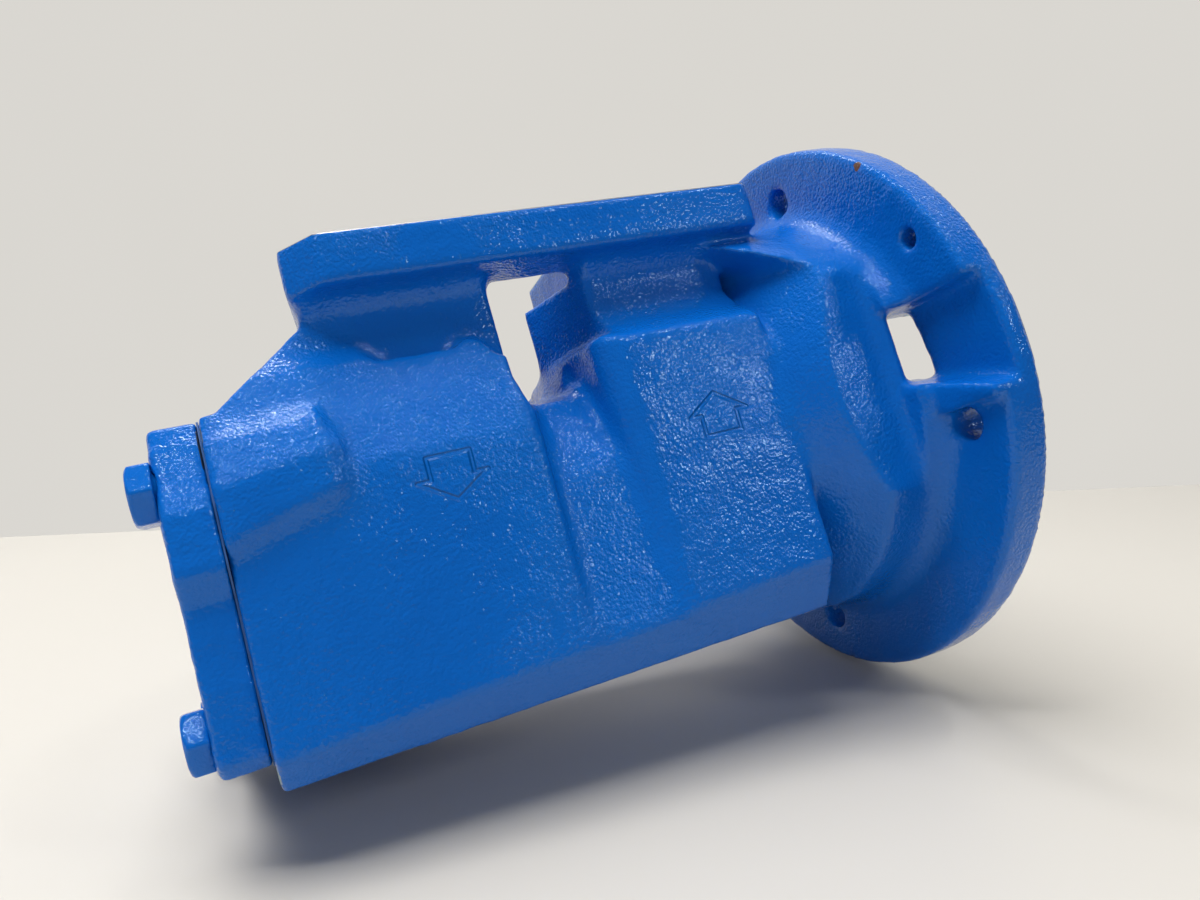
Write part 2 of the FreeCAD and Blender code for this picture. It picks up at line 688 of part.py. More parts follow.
def idler_rotor(side):
    y = 2 * pitch_r * side
    root = 2 * pitch_r - power_tip_r - rotor_gap
    profile = rotor_outline(root, pitch_r, idler_flank, idler_land, 90, screw_rear_x, y)
    screw = screw_bar(profile, screw_rear_x, screw_front_x, y, True)
    journal = cyl(idler_journal_r, screw_rear_x - idler_journal_len, screw_rear_x + 1, y)
    return screw.fuse(journal)


def thrust_plate():
    x0, x1 = liner_rear_x - thrust_plate_t, liner_rear_x
    plate = liner_bar(0, x0, x1)
    holes = [cyl(suction_eye_r, x0 - 1, x1 + 1)]
    for side in (1, -1):
        holes.append(cyl(bush_r, x0 - 1, x1 + 1, 2 * pitch_r * side))
    return plate.cut(holes)


def idler_bush(side):
    y = 2 * pitch_r * side
    x0, x1 = liner_rear_x - thrust_plate_t, liner_rear_x
    well = cyl(idler_journal_r + journal_gap, screw_rear_x - idler_journal_len - 0.5, x1 + 1, y)
    return cyl(bush_r, x0, x1, y).cut(well)


# Bearing of the power rotor

def bearing_centre_x():
    return discharge_wall_x + discharge_wall_t + bearing_width / 2


def ball_track():
    """Ring groove that both races share, a little larger than the balls."""
    centre = Vec(bearing_centre_x(), 0, 0)
    return Part.makeTorus(bearing_pitch_r, bearing_ball_r + bearing_ball_gap, centre, Vec(1, 0, 0))


def bearing_outer_race():
    x = bearing_centre_x()
    half = bearing_width / 2
    ring = tube(bearing_outer_r, bearing_pitch_r + race_land, x - half, x + half)
    return ring.cut(ball_track())


def bearing_inner_race():
    x = bearing_centre_x()
    half = bearing_width / 2
    ring = tube(bearing_pitch_r - race_land, journal_r, x - half, x + half)
    return ring.cut(ball_track())


def bearing_balls():
    return [Part.makeSphere(bearing_ball_r, Vec(bearing_centre_x(), y, z))
            for y, z in ring_places(bearing_ball_count, bearing_pitch_r, 0)]


def bearing_cage():
    x = bearing_centre_x()
    half = cage_wall / 2
    ring = tube(bearing_pitch_r + half, bearing_pitch_r - half, x - cage_half_w, x + cage_half_w)
    pockets = [Part.makeSphere(bearing_ball_r + 0.1, Vec(x, y, z))
               for y, z in ring_places(bearing_ball_count, bearing_pitch_r, 0)]
    return ring.cut(pockets)


def balance_bush():
    front_x = discharge_wall_x + discharge_wall_t
    return tube(balance_bush_r, power_neck_r + journal_gap, discharge_wall_x, front_x)


def shaft_circlip():
    x0 = discharge_wall_x + discharge_wall_t + bearing_width
    ring = tube(journal_r + 3, journal_r - clip_depth, x0, x0 + clip_t - 0.1)
    return ring.cut(box(x0 - 1, x0 + clip_t + 1, -2.5, 2.5, 0, journal_r + 5))


# Front cover and shaft seal

# Planes of the front cover and of the seal behind its lip
front_base_x = lantern_floor_x + gasket_t
seal_back_x = front_cover_nose_x - seal_lip_t
seal_run_x = seal_back_x - seal_seat_t - seal_face_gap
seal_carrier_x = seal_run_x - seal_face_t


def front_cover():
    base = front_base_x
    spigot_end = discharge_wall_x + discharge_wall_t + bearing_width
    seat_x = seal_back_x - seal_seat_t
    shape = turned([(spigot_end, seal_chamber_r, 0), (spigot_end, bearing_outer_r, 0),
                    (base, bearing_outer_r, 0), (base, front_cover_r, 0),
                    (base + front_cover_t, front_cover_r, 1.0), (base + front_cover_t, front_cover_nose_r, 2.0),
                    (front_cover_nose_x, front_cover_nose_r, 2.0),
                    (front_cover_nose_x, journal_r + shaft_pass_gap, 0),
                    (seal_back_x, journal_r + shaft_pass_gap, 0),
                    (seal_back_x, seal_seat_r, 0), (seat_x, seal_seat_r, 0),
                    (seat_x, seal_chamber_r, 0)])
    holes = [cyl(front_screw_r + 0.3, base - 1, base + front_cover_t + 1, y, z)
             for y, z in ring_places(front_screw_count, front_screw_circle_r, 0)]
    return shape.cut(holes)


def front_cover_gasket():
    sheet = tube(front_cover_r, bearing_outer_r + 0.5, lantern_floor_x, front_base_x)
    holes = [cyl(front_screw_r + 0.3, lantern_floor_x - 1, front_base_x + 1, y, z)
             for y, z in ring_places(front_screw_count, front_screw_circle_r, 0)]
    return sheet.cut(holes)


def front_cover_screws():
    seat = front_base_x + front_cover_t
    screws = []
    for y, z in ring_places(front_screw_count, front_screw_circle_r, 0):
        head = cyl(front_screw_r * 1.6, seat, seat + 2 * front_screw_r, y, z)
        socket = hexagon(1.6 * front_screw_r, seat + front_screw_r, seat + 2 * front_screw_r + 1, y, z)
        shank = cyl(front_screw_r - 0.02, lantern_floor_x - front_screw_depth + 1, seat, y, z)
        screws.append(head.cut(socket).fuse(shank))
    return screws


def seal_seat():
    back = seal_back_x
    face = back - seal_seat_t
    return turned([(face, journal_r + shaft_pass_gap, 0), (face, seal_seat_r, 0),
                   (face + 3, seal_seat_r, 0), (face + 3, seal_seat_r - 2, 0), (back, seal_seat_r - 2, 0),
                   (back, journal_r + shaft_pass_gap, 0)])


def seal_seat_o_ring():
    x = seal_back_x - 1.5
    return Part.makeTorus(seal_seat_r - 1, 1.0, Vec(x, 0, 0), Vec(1, 0, 0))


def seal_face_ring():
    return tube(seal_seat_r - 1, journal_r, seal_carrier_x, seal_run_x)


def seal_carrier():
    """Rotating sleeve that drives the face ring and takes the spring."""
    back, front = seal_carrier_x - seal_carrier_t, seal_carrier_x
    return turned([(back, journal_r, 0), (back, seal_seat_r, 0), (front + 1.5, seal_seat_r, 0),
                   (front + 1.5, seal_seat_r - 1, 0), (front, seal_seat_r - 1, 0), (front, journal_r, 0)])


def coil(x0, x1, mean_r, wire_w, wire_h, turns, y=0.0, z=0.0):
    """Spring of rectangular wire between two planes across X."""
    pitch = (x1 - x0 - wire_w) / turns
    path = Part.makeHelix(pitch, pitch * turns, mean_r)
    w, h = wire_w / 2, wire_h / 2
    section = Part.makePolygon([Vec(mean_r - h, 0, -w), Vec(mean_r + h, 0, -w), Vec(mean_r + h, 0, w),
                                Vec(mean_r - h, 0, w), Vec(mean_r - h, 0, -w)])
    spring = Part.Wire(path.Edges).makePipeShell([section], True, True)
    spring.rotate(Vec(0, 0, 0), Vec(0, 1, 0), 90)
    spring.translate(Vec(x0 + w, y, z))
    return spring


def seal_spring():
    start = discharge_wall_x + discharge_wall_t + bearing_width + clip_t
    end = seal_carrier_x - seal_carrier_t
    return coil(start, end, seal_spring_r, seal_wire, seal_wire, seal_spring_turns)


# Relief valve

def relief_valve_piston():
    seat = valve_seat_x - valve_face_gap
    back = seat - valve_piston_len
    r = valve_bore_r - valve_gap
    nose = valve_seat_r - 0.1
    body = turned([(back, 0, 0), (back, r, 0.8), (seat, r, 0), (seat, nose, 0), (seat + 2, nose, 0),
                   (seat + 5, nose / 2, 0), (seat + 5, 0, 0)], 0, valve_z)
    return body.cut(cyl(valve_bore_r - 1.5, back - 1, back + valve_cup_depth, z=valve_z))


def relief_valve_spring():
    end = valve_seat_x - valve_face_gap - valve_piston_len + valve_cup_depth
    start = spring_plate_x + spring_plate_t
    return coil(start, end, valve_spring_r, spring_wire, spring_wire, spring_turns, 0, valve_z)


def relief_spring_plate():
    """Disc with flats for the oil to pass and a boss that centres the spring."""
    x0, x1 = spring_plate_x, spring_plate_x + spring_plate_t
    disc = cyl(valve_bore_r - 0.1, x0, x1, z=valve_z)
    half = valve_bore_r - 2
    disc = disc.common(box(x0, x1, -half, half, valve_z - valve_bore_r, valve_z + valve_bore_r))
    boss_r = valve_spring_r - spring_wire / 2 - 0.4
    boss = turned([(x1 - 1, 0, 0), (x1 - 1, boss_r, 0), (x1 + 4, boss_r, 0), (x1 + 5, boss_r - 1, 0),
                   (x1 + 5, 0, 0)], 0, valve_z)
    return disc.fuse(boss)


# Planes of the plug that closes the relief valve's bore
plug_inner_x = body_rear_x - gasket_t
plug_outer_x = plug_inner_x - cover_t


def relief_adjusting_screw():
    """Set screw in the plug; a hexagon socket turns it from behind."""
    start_x = plug_outer_x + valve_screw_sunk
    end_x = spring_plate_x - valve_face_gap
    shank_r = valve_screw_r - valve_gap
    screw = turned([(start_x, 0, 0), (start_x, shank_r - 0.8, 0), (start_x + 0.8, shank_r, 0),
                    (end_x - 3, shank_r, 0), (end_x - 2, shank_r - 1, 0), (end_x, shank_r - 1, 0),
                    (end_x, 0, 0)], 0, valve_z)
    return screw.cut(hexagon(valve_socket, start_x - 1, start_x + 5, 0, valve_z))


def relief_valve_plug():
    back, inner = plug_outer_x, plug_inner_x
    under = back + valve_plug_head_t
    plug = turned([(back, valve_screw_r, 0), (back, valve_plug_head_r, 0.6), (under, valve_plug_head_r, 0),
                   (under, valve_plug_r, 0), (inner, valve_plug_r, 0), (inner, valve_screw_r, 0)], 0, valve_z)
    spanner = [cyl(1.6, back - 1, back + 2.4, side * 8.5, valve_z) for side in (1, -1)]
    return plug.cut(spanner)


def relief_plug_washer():
    under = plug_outer_x + valve_plug_head_t
    return tube(valve_plug_head_r, valve_plug_r, under, under + valve_washer_t, 0, valve_z)


parts = {}


def build():
    parts["pump_body"] = pump_body()
    parts["rear_cover"] = rear_cover()
    parts["rear_cover_gasket"] = rear_cover_gasket()
    parts["rear_cover_bolts"] = Part.makeCompound(rear_cover_bolts())
    parts["rotor_liner"] = rotor_liner()
    parts["idler_thrust_plate"] = thrust_plate()
    parts["near_idler_bush"] = idler_bush(-1)
    parts["far_idler_bush"] = idler_bush(1)
    parts["power_rotor"] = power_rotor()
    parts["near_idler_rotor"] = idler_rotor(-1)
    parts["far_idler_rotor"] = idler_rotor(1)
    parts["balance_bush"] = balance_bush()
    parts["bearing_outer_race"] = bearing_outer_race()
    parts["bearing_inner_race"] = bearing_inner_race()
    parts["bearing_balls"] = Part.makeCompound(bearing_balls())
    parts["bearing_cage"] = bearing_cage()
    parts["shaft_circlip"] = shaft_circlip()
    parts["front_cover"] = front_cover()
    parts["front_cover_gasket"] = front_cover_gasket()
    parts["front_cover_screws"] = Part.makeCompound(front_cover_screws())
    parts["seal_seat"] = seal_seat()
    parts["seal_seat_o_ring"] = seal_seat_o_ring()
    parts["seal_face_ring"] = seal_face_ring()
    parts["seal_carrier"] = seal_carrier()
    parts["seal_spring"] = seal_spring()
    parts["shaft_key"] = shaft_key()
    parts["relief_valve_piston"] = relief_valve_piston()
    parts["relief_valve_spring"] = relief_valve_spring()
    parts["relief_spring_plate"] = relief_spring_plate()
    parts["relief_adjusting_screw"] = relief_adjusting_screw()
    parts["relief_valve_plug"] = relief_valve_plug()
    parts["relief_plug_washer"] = relief_plug_washer()


def write():
    os.makedirs("parts", exist_ok=True)
    for name, shape in parts.items():
        shape.exportStep("parts/" + name + ".step")


build()
write()
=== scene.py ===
import json
import math

import bpy
import numpy as np
from mathutils import Matrix, Vector


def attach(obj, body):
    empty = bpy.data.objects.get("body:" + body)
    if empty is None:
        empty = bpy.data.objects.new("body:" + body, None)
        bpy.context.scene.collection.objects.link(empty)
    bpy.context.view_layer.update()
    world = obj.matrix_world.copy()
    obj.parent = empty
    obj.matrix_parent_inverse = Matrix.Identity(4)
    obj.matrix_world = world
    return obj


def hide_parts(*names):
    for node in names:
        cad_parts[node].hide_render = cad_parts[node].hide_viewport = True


# Screw pump: a rough sand casting under thick glossy blue enamel, lying on a pale table.
# Metres. +X leaves the mounting face, +Z the port plate, as in the model it rides on.

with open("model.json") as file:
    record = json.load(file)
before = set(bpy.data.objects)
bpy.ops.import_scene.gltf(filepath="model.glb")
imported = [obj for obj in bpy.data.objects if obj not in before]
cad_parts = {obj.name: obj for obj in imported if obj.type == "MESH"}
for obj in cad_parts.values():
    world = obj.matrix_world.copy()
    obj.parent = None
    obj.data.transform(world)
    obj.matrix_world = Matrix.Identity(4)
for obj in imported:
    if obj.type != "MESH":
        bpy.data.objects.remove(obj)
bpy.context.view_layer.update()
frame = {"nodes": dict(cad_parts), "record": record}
nodes = frame["nodes"]
SEED = 11                      # of the lumps on the castings


# Camera: a phone's wide lens close to the pump, rolled with the tilted pump
CAMERA_PLACE = Vector((-0.2233, -0.2977, -0.0323))
CAMERA_RIGHT = Vector((0.9037, -0.3311, -0.2716))
CAMERA_UP = Vector((0.2112, -0.2071, 0.9552))
CAMERA_AHEAD = Vector((0.3725, 0.9206, 0.1172))
LENS_MM = 27.0

# The table, as it lies under the tilted pump
TABLE_UP = Vector((0.1177, -0.3184, 0.9402)).normalized()


def turned_frame(right, up, ahead):
    """Matrix whose columns are right, up and backwards."""
    m = Matrix((right, up, -ahead)).transposed()
    return m.to_4x4()


def make_camera():
    data = bpy.data.cameras.new("photo_camera")
    data.sensor_width = 36.0
    data.lens = LENS_MM
    data.clip_start = 0.01
    data.clip_end = 20.0
    cam = bpy.data.objects.new("photo_camera", data)
    turn = turned_frame(CAMERA_RIGHT, CAMERA_UP, CAMERA_AHEAD)
    cam.matrix_world = Matrix.Translation(CAMERA_PLACE) @ turn
    bpy.context.scene.collection.objects.link(cam)
    bpy.context.scene.camera = cam


# Arrays and meshes

LUMPS_SUMMED = 12
NORMALS_EVERY = 4              # rounds of settling between two readings of the normals
HOLLOW_RATE, RIDGE_RATE = 0.6, 0.1
LONG_LUMP, SHORT_LUMP = 0.011, 0.0045


def vertex_array(mesh):
    co = np.zeros(len(mesh.vertices) * 3, np.float64)
    mesh.vertices.foreach_get("co", co)
    return co.reshape(-1, 3)


def normal_array(mesh):
    no = np.zeros(len(mesh.vertices) * 3, np.float64)
    mesh.vertices.foreach_get("normal", no)
    return no.reshape(-1, 3)


def lump_field(points, wavelength, seed):
    """Smooth lumps: sines along LUMPS_SUMMED fixed random directions, each about one wavelength long,
    summed and divided by the root of their number."""
    rng = np.random.default_rng(seed)
    total = np.zeros(len(points))
    for _ in range(LUMPS_SUMMED):
        way = rng.normal(size=3)
        way /= np.linalg.norm(way)
        length = wavelength * rng.uniform(0.7, 1.5)
        total += np.sin(points @ way * (2 * math.pi / length) + rng.uniform(0, 2 * math.pi))
    return total / math.sqrt(LUMPS_SUMMED)


def edge_array(mesh):
    ends = np.zeros(len(mesh.edges) * 2, np.int32)
    mesh.edges.foreach_get("vertices", ends)
    return ends.reshape(-1, 2)


def pull_to_neighbours(points, ends, degree):
    """From each vertex to the mean of the vertices that share an edge with it."""
    total = np.zeros_like(points)
    for k in range(3):
        total[:, k] = (np.bincount(ends[:, 0], points[ends[:, 1], k], len(points))
                       + np.bincount(ends[:, 1], points[ends[:, 0], k], len(points)))
    return total / degree[:, None] - points


def settle_paint(mesh, rounds, hollow_rate, ridge_rate, weight):
    """Rounds a surface as sand and thick paint round it.

    Each round moves a vertex by a share of its pull to its neighbours: a large share in a hollow, where the
    pull points out along the normal, and a small one on a ridge. The weight scales both, and is 0 on faces
    that were machined after casting."""
    ends = edge_array(mesh)
    points = vertex_array(mesh)
    degree = np.maximum(np.bincount(ends.ravel(), minlength=len(points)), 1)
    for step in range(rounds):
        if step % NORMALS_EVERY == 0:
            mesh.vertices.foreach_set("co", points.astype(np.float32).ravel())
            mesh.update()
            normals = normal_array(mesh)
        pull = pull_to_neighbours(points, ends, degree)
        hollow = np.einsum("ij,ij->i", pull, normals) > 0
        points += pull * (np.where(hollow, hollow_rate, ridge_rate) * weight)[:, None]
    return points


def solid_mesh(name, stacks):
    """Closed shells in one mesh. A stack is rings of points, one ring after the other; neighbouring rings
    are joined by four-sided faces, point by point, and the first and last ring are closed by flat caps."""
    points, faces = [], []
    for stack in stacks:
        rings = np.asarray(stack, float)
        count, n = rings.shape[:2]
        first = len(points)
        index = first + np.arange(count * n).reshape(count, n)
        beside = np.roll(index, -1, axis=1)
        sides = np.stack([index[:-1], beside[:-1], beside[1:], index[1:]], axis=-1).reshape(-1, 4)
        caps = [tuple(index[0][::-1].tolist()), tuple(index[-1].tolist())]
        shell = [tuple(f) for f in sides.tolist()] + caps
        along = rings[-1].mean(axis=0) - rings[0].mean(axis=0)
        spokes = rings[0] - rings[0].mean(axis=0)
        area = np.cross(spokes, np.roll(spokes, -1, axis=0))
        if area.sum(axis=0) @ along < 0:
            shell = [f[::-1] for f in shell]
        points.extend(rings.reshape(-1, 3).tolist())
        faces.extend(shell)
    mesh = bpy.data.meshes.new(name)
    mesh.from_pydata(points, [], faces)
    return mesh


def prism(outline, axis, start, end):
    """Two rings: an outline in the plane across an axis, at the start and at the end of its run."""
    flat = np.asarray(outline, float)
    rings = np.zeros((2, len(flat), 3))
    other = [k for k in range(3) if k != "XYZ".index(axis)]
    rings[:, :, other] = flat
    rings[:, :, "XYZ".index(axis)] = np.array([[start], [end]])
    return rings


def both_sides(stack):
    return [stack, np.asarray(stack) * (1.0, -1.0, 1.0)]


def combine(piece, operation, name, stacks):
    """Adds closed shells to a piece, or cuts them out of it."""
    tool = bpy.data.objects.new(name, solid_mesh(name, stacks))
    bpy.context.scene.collection.objects.link(tool)
    step = piece.modifiers.new(name, "BOOLEAN")
    step.operation = operation
    step.solver = "EXACT"
    step.use_self = True
    step.object = tool
    apply_modifiers(piece)
    bpy.data.objects.remove(tool)


def merged_copy(name, node):
    """The node's own shape with its loose triangles merged."""
    skin = bpy.data.objects.new(name, nodes[node].data.copy())
    bpy.context.scene.collection.objects.link(skin)
    weld = skin.modifiers.new("weld", "WELD")
    weld.merge_threshold = 1e-6
    apply_modifiers(skin)
    return skin


def rebuild(skin, cell):
    """Rebuilds a closed surface on an even grid of cells."""
    step = skin.modifiers.new("rebuild", "REMESH")
    step.mode = "VOXEL"
    step.voxel_size = cell
    step.adaptivity = 0.0
    apply_modifiers(skin)


def apply_modifiers(piece):
    bpy.context.view_layer.update()
    shaped = piece.evaluated_get(bpy.context.evaluated_depsgraph_get())
    final = bpy.data.meshes.new_from_object(shaped)
    piece.modifiers.clear()
    piece.data = final


def cast_skin(skin, cell, rounds, keep, lumps, cast_share):
    """Makes a merged copy the casting's surface: rebuilt, settled, then moved along its normals by soft
    lumps.

    cast_share gives, for an array of points, how much of each is as cast: 1 on sand-cast skin, 0 on
    machined faces and bores."""
    rebuild(skin, cell)
    weight = cast_share(vertex_array(skin.data))
    points = settle_paint(skin.data, rounds, HOLLOW_RATE, RIDGE_RATE, weight)
    skin.data.vertices.foreach_set("co", points.astype(np.float32).ravel())
    skin.data.update()
    waves = lump_field(points, LONG_LUMP, SEED) + 0.5 * lump_field(points, SHORT_LUMP, SEED + 1)
    points += normal_array(skin.data) * (lumps * waves * weight)[:, None]
    skin.data.vertices.foreach_set("co", points.astype(np.float32).ravel())
    if keep < 1.0:
        thin = skin.modifiers.new("thin", "DECIMATE")
        thin.ratio = keep
        apply_modifiers(skin)
    skin.data.polygons.foreach_set("use_smooth", np.ones(len(skin.data.polygons), bool))
    skin.data.update()
    skin.data.materials.clear()


# Forms of the body that the skin adds to the node or cuts out of it. Metres, as in the frame.
# Outlines are (y, z) across X, (x, z) across Y and (x, y) across Z, and on the far side where both sides
# have one.

BODY_REAR_X = -0.2295
NECK_Y, SIDE_Y = 0.0315, 0.048
PLATE_LOW_Z, PLATE_TOP_Z = 0.0645, 0.080
PLATE_HALF_W, PLATE_CORNER = 0.046, 0.0105
FLANGE_R = 0.100
OVERLAP = 0.0005               # of an added form with what carries it
STOP_SHORT = 0.0001            # of a cut below the plate's underside
SIDE_REACH = 0.053             # of cuts that run out past the sides

# Rear chamber: height and half width of its side, and how far forward its end reaches at each width
SHOULDER_Z = (0.024, 0.026, 0.043, 0.051, PLATE_LOW_Z + OVERLAP)
SHOULDER_Y = (0.0436, 0.043, 0.0365, NECK_Y, NECK_Y)
END_Y, END_X = (0.0, 0.010, 0.035, SIDE_Y), (-0.1295, -0.1295, -0.134, -0.139)
SHOULDER_OUTLINE = [(0.0402, -0.008), (0.048, -0.008), (0.048, 0.0079), (0.0474, 0.0120), (0.043, 0.026),
                    (0.0368, 0.042), (0.034, 0.042), (0.037, 0.025), (0.0402, 0.012)]
SHOULDER_END_X, SHOULDER_END_R, SHOULDER_LOW_Z, SHOULDER_FRONT_X = -0.143, 0.008, 0.037, -0.1405

# Window under the plate in the middle plane, and how its walls spread outwards
WINDOW_REAR_X, WINDOW_FRONT_X, WINDOW_TIP_X = -0.131, -0.1166, -0.1196
WINDOW_FLOOR_Z, WINDOW_COLUMN_Z = 0.0273, 0.035
WINDOW_FOOT, WINDOW_FOOT_H = 0.003, 0.0107
WINDOW_REAR_SLOPE, WINDOW_FRONT_SLOPE, WINDOW_LOW_SLOPE, WINDOW_FLOOR_SLOPE = 0.228, 0.3625, 0.087, 0.228

# Drain notch behind the mounting face
DRAIN_FLOOR_X, DRAIN_REAR_X, DRAIN_SHELF_X = -0.0075, -0.018, -0.0215
DRAIN_TOP_Z, DRAIN_RIM_Z, DRAIN_SLOPE = 0.020, -0.0145, 0.287
DRAIN_INNER_Y, DRAIN_SHELF_Y = 0.0500, 0.0655


def rear_chamber_end():
    """Rings across Z. Each goes out to the chamber's half width at its height, with the end wall's
    forward reach at each of its corners."""
    rings = []
    for z, half in zip(SHOULDER_Z, SHOULDER_Y):
        y = np.array([half, min(0.035, half - 0.0005), 0.010])
        x = np.interp(y, END_Y, END_X)
        near = [(-0.146, half, z)] + [(a, b, z) for a, b in zip(x, y)]
        rings.append(near + [(a, -b, c) for a, b, c in reversed(near)])
    return rings


def window():
    """Rings across Y. In each the walls and the floor are shifted by their slopes times the distance from
    the middle plane."""
    rings = []
    for y in (-SIDE_REACH, 0.0, SIDE_REACH):
        off = abs(y)
        rear = WINDOW_REAR_X - WINDOW_REAR_SLOPE * off
        front = WINDOW_FRONT_X + WINDOW_FRONT_SLOPE * off
        floor = WINDOW_FLOOR_Z - WINDOW_FLOOR_SLOPE * off
        tip = WINDOW_TIP_X + WINDOW_LOW_SLOPE * off
        column = tip + WINDOW_FRONT_X - WINDOW_TIP_X
        rings.append([(rear, y, PLATE_LOW_Z), (rear, y, floor + WINDOW_FOOT_H),
                      (rear + WINDOW_FOOT, y, floor), (tip, y, floor), (column, y, WINDOW_COLUMN_Z),
                      (front, y, WINDOW_COLUMN_Z + 0.002), (front, y, PLATE_LOW_Z)])
    return rings


def boss():
    """Tapering bolt boss beside the rear face. It stands proud to its front end, which then drops steeply."""
    rear = [(0.041, -0.008), (0.048, -0.008), (0.0515, -0.003), (0.0515, 0.011), (0.0460, 0.0250),
            (0.037, 0.0345), (0.036, 0.022), (0.041, 0.008)]
    front = [(0.041, 0.001), (0.048, 0.001), (0.0515, 0.006), (0.0515, 0.0165), (0.0465, 0.0270),
             (0.0385, 0.0345), (0.036, 0.024), (0.041, 0.012)]
    foot = [(0.040, 0.003), (0.0455, 0.003), (0.0465, 0.007), (0.0460, 0.0150), (0.0415, 0.0240),
            (0.0355, 0.0310), (0.034, 0.024), (0.039, 0.012)]
    rings = ((BODY_REAR_X, rear), (-0.1985, front), (-0.1960, foot))
    return [[(x, y, z) for y, z in outline] for x, outline in rings]


def drain_low_z(y):
    return DRAIN_RIM_Z + DRAIN_SLOPE * (FLANGE_R - y)


def drain_outline(inner):
    outer = FLANGE_R + 0.005
    return [(inner, drain_low_z(inner)), (outer, drain_low_z(outer)),
            (outer, DRAIN_TOP_Z), (inner, DRAIN_TOP_Z)]


def drain_sill():
    """What raises the notch's lower edge from level to sloping."""
    outer = FLANGE_R - 0.0012
    return [(DRAIN_INNER_Y + 0.0062, -0.0178), (outer - 0.0006, -0.0178), (outer, drain_low_z(outer)),
            (DRAIN_INNER_Y + 0.0062, drain_low_z(DRAIN_INNER_Y + 0.0062))]


def mouth_relief():
    """Where the drain runs out through the mouth of the lantern: an arc about the shaft's axis, closed by a
    straight inner edge."""
    angles = np.radians(np.linspace(-15.0, 18.0, 9))
    outer = [(0.065 * math.cos(a), 0.065 * math.sin(a)) for a in angles]
    return [(0.050, outer[0][1])] + outer + [(0.050, outer[-1][1])]


def shoulder_end():
    """Rounding of the shoulder's front end towards the valley."""
    x, z, r = SHOULDER_END_X - SHOULDER_END_R, SHOULDER_LOW_Z, SHOULDER_END_R
    arc = [(x + r * math.sin(a), z + r * math.cos(a)) for a in np.radians(np.linspace(0.0, 90.0, 7))]
    return arc + [(-0.113, z), (-0.113, z + 0.02), (x, z + 0.02)]


def plate_gap():
    """Opening between the two port pads. The bar along the near side closes it."""
    rear, front, edge, w, c = -0.136, -0.100, -0.024, PLATE_HALF_W, PLATE_CORNER
    return [(rear, edge), (front, edge), (front, w - c), (front + c, w), (front + c, w + 0.005),
            (rear - c, w + 0.005), (rear - c, w), (rear, w - c)]


def plate_end():
    """What the plate's rear end loses towards the far side."""
    near, far, w, c = -0.199, -0.190, PLATE_HALF_W, PLATE_CORNER
    return [(near - 0.002, c - w), (near, c - w), (far, w - c), (far + c, w), (far + c, w + 0.002),
            (near - 0.002, w + 0.002)]


def neck_end():
    return [(-0.217, -NECK_Y - 0.001), (-0.197, -NECK_Y - 0.001), (-0.188, 0.0395), (-0.217, 0.0395)]


WAIST_CUT = [(0.0425, -0.005), (0.035, 0.0123), (0.0275, 0.0243), (0.020, 0.0270), (0.020, 0.033),
             (0.038, 0.033), (0.046, 0.0)]
REAR_TOP_CUT = [(-0.2305, 0.034), (-0.225, 0.0345), (-0.223, 0.0365), (-0.197, 0.058),
                (-0.197, PLATE_LOW_Z - STOP_SHORT), (-0.2305, PLATE_LOW_Z - STOP_SHORT)]
FRONT_RIDGE = [(-0.1181, -0.012), (-0.1181, 0.012), (-0.113, 0.030), (-0.106, 0.030), (-0.106, -0.030),
               (-0.113, -0.030)]
WAIST_REAR_X, WAIST_FRONT_X = -0.1336, -0.1132
ARROW_FIELD = [(-0.182, -0.009), (-0.064, -0.009), (-0.064, 0.012), (-0.182, 0.012)]


def shape_body(skin):
    """Gives the node's copy the forms that the real casting has beyond it. The node's raised arrow lines
    are cut flush, and blue_enamel engraves the arrows instead."""
    under_plate, over_plate = PLATE_LOW_Z - STOP_SHORT, PLATE_TOP_Z + 0.001
    added = [rear_chamber_end(), prism(FRONT_RIDGE, "Z", 0.024, PLATE_LOW_Z + OVERLAP)]
    added += both_sides(prism(SHOULDER_OUTLINE, "X", BODY_REAR_X, SHOULDER_FRONT_X))
    added += both_sides(boss())
    added += both_sides(prism(drain_sill(), "X", DRAIN_REAR_X, DRAIN_FLOOR_X + OVERLAP))
    combine(skin, "UNION", "cast_additions", added)
    away = [window(), prism(REAR_TOP_CUT, "Y", -SIDE_REACH, SIDE_REACH)]
    away += both_sides(prism(WAIST_CUT, "X", WAIST_REAR_X, WAIST_FRONT_X))
    away += both_sides(prism(shoulder_end(), "Y", NECK_Y, SIDE_REACH))
    away += both_sides(prism(drain_outline(DRAIN_INNER_Y), "X", DRAIN_REAR_X, DRAIN_FLOOR_X))
    away += both_sides(prism(drain_outline(DRAIN_SHELF_Y), "X", DRAIN_SHELF_X, DRAIN_FLOOR_X))
    away += both_sides(prism(mouth_relief(), "X", -0.008, 0.005))
    away += [prism(neck_end(), "Z", 0.057, under_plate),
             prism(plate_end(), "Z", under_plate, over_plate),
             prism(plate_gap(), "Z", PLATE_LOW_Z - 0.004, over_plate),
             prism(ARROW_FIELD, "Y", -0.050, -SIDE_Y)]
    combine(skin, "DIFFERENCE", "cast_cuts", away)


# Machined places of the castings. A box is its lowest and highest corner. A bore is its axis, a point on
# the axis, its radius, and the span that it has along the axis.

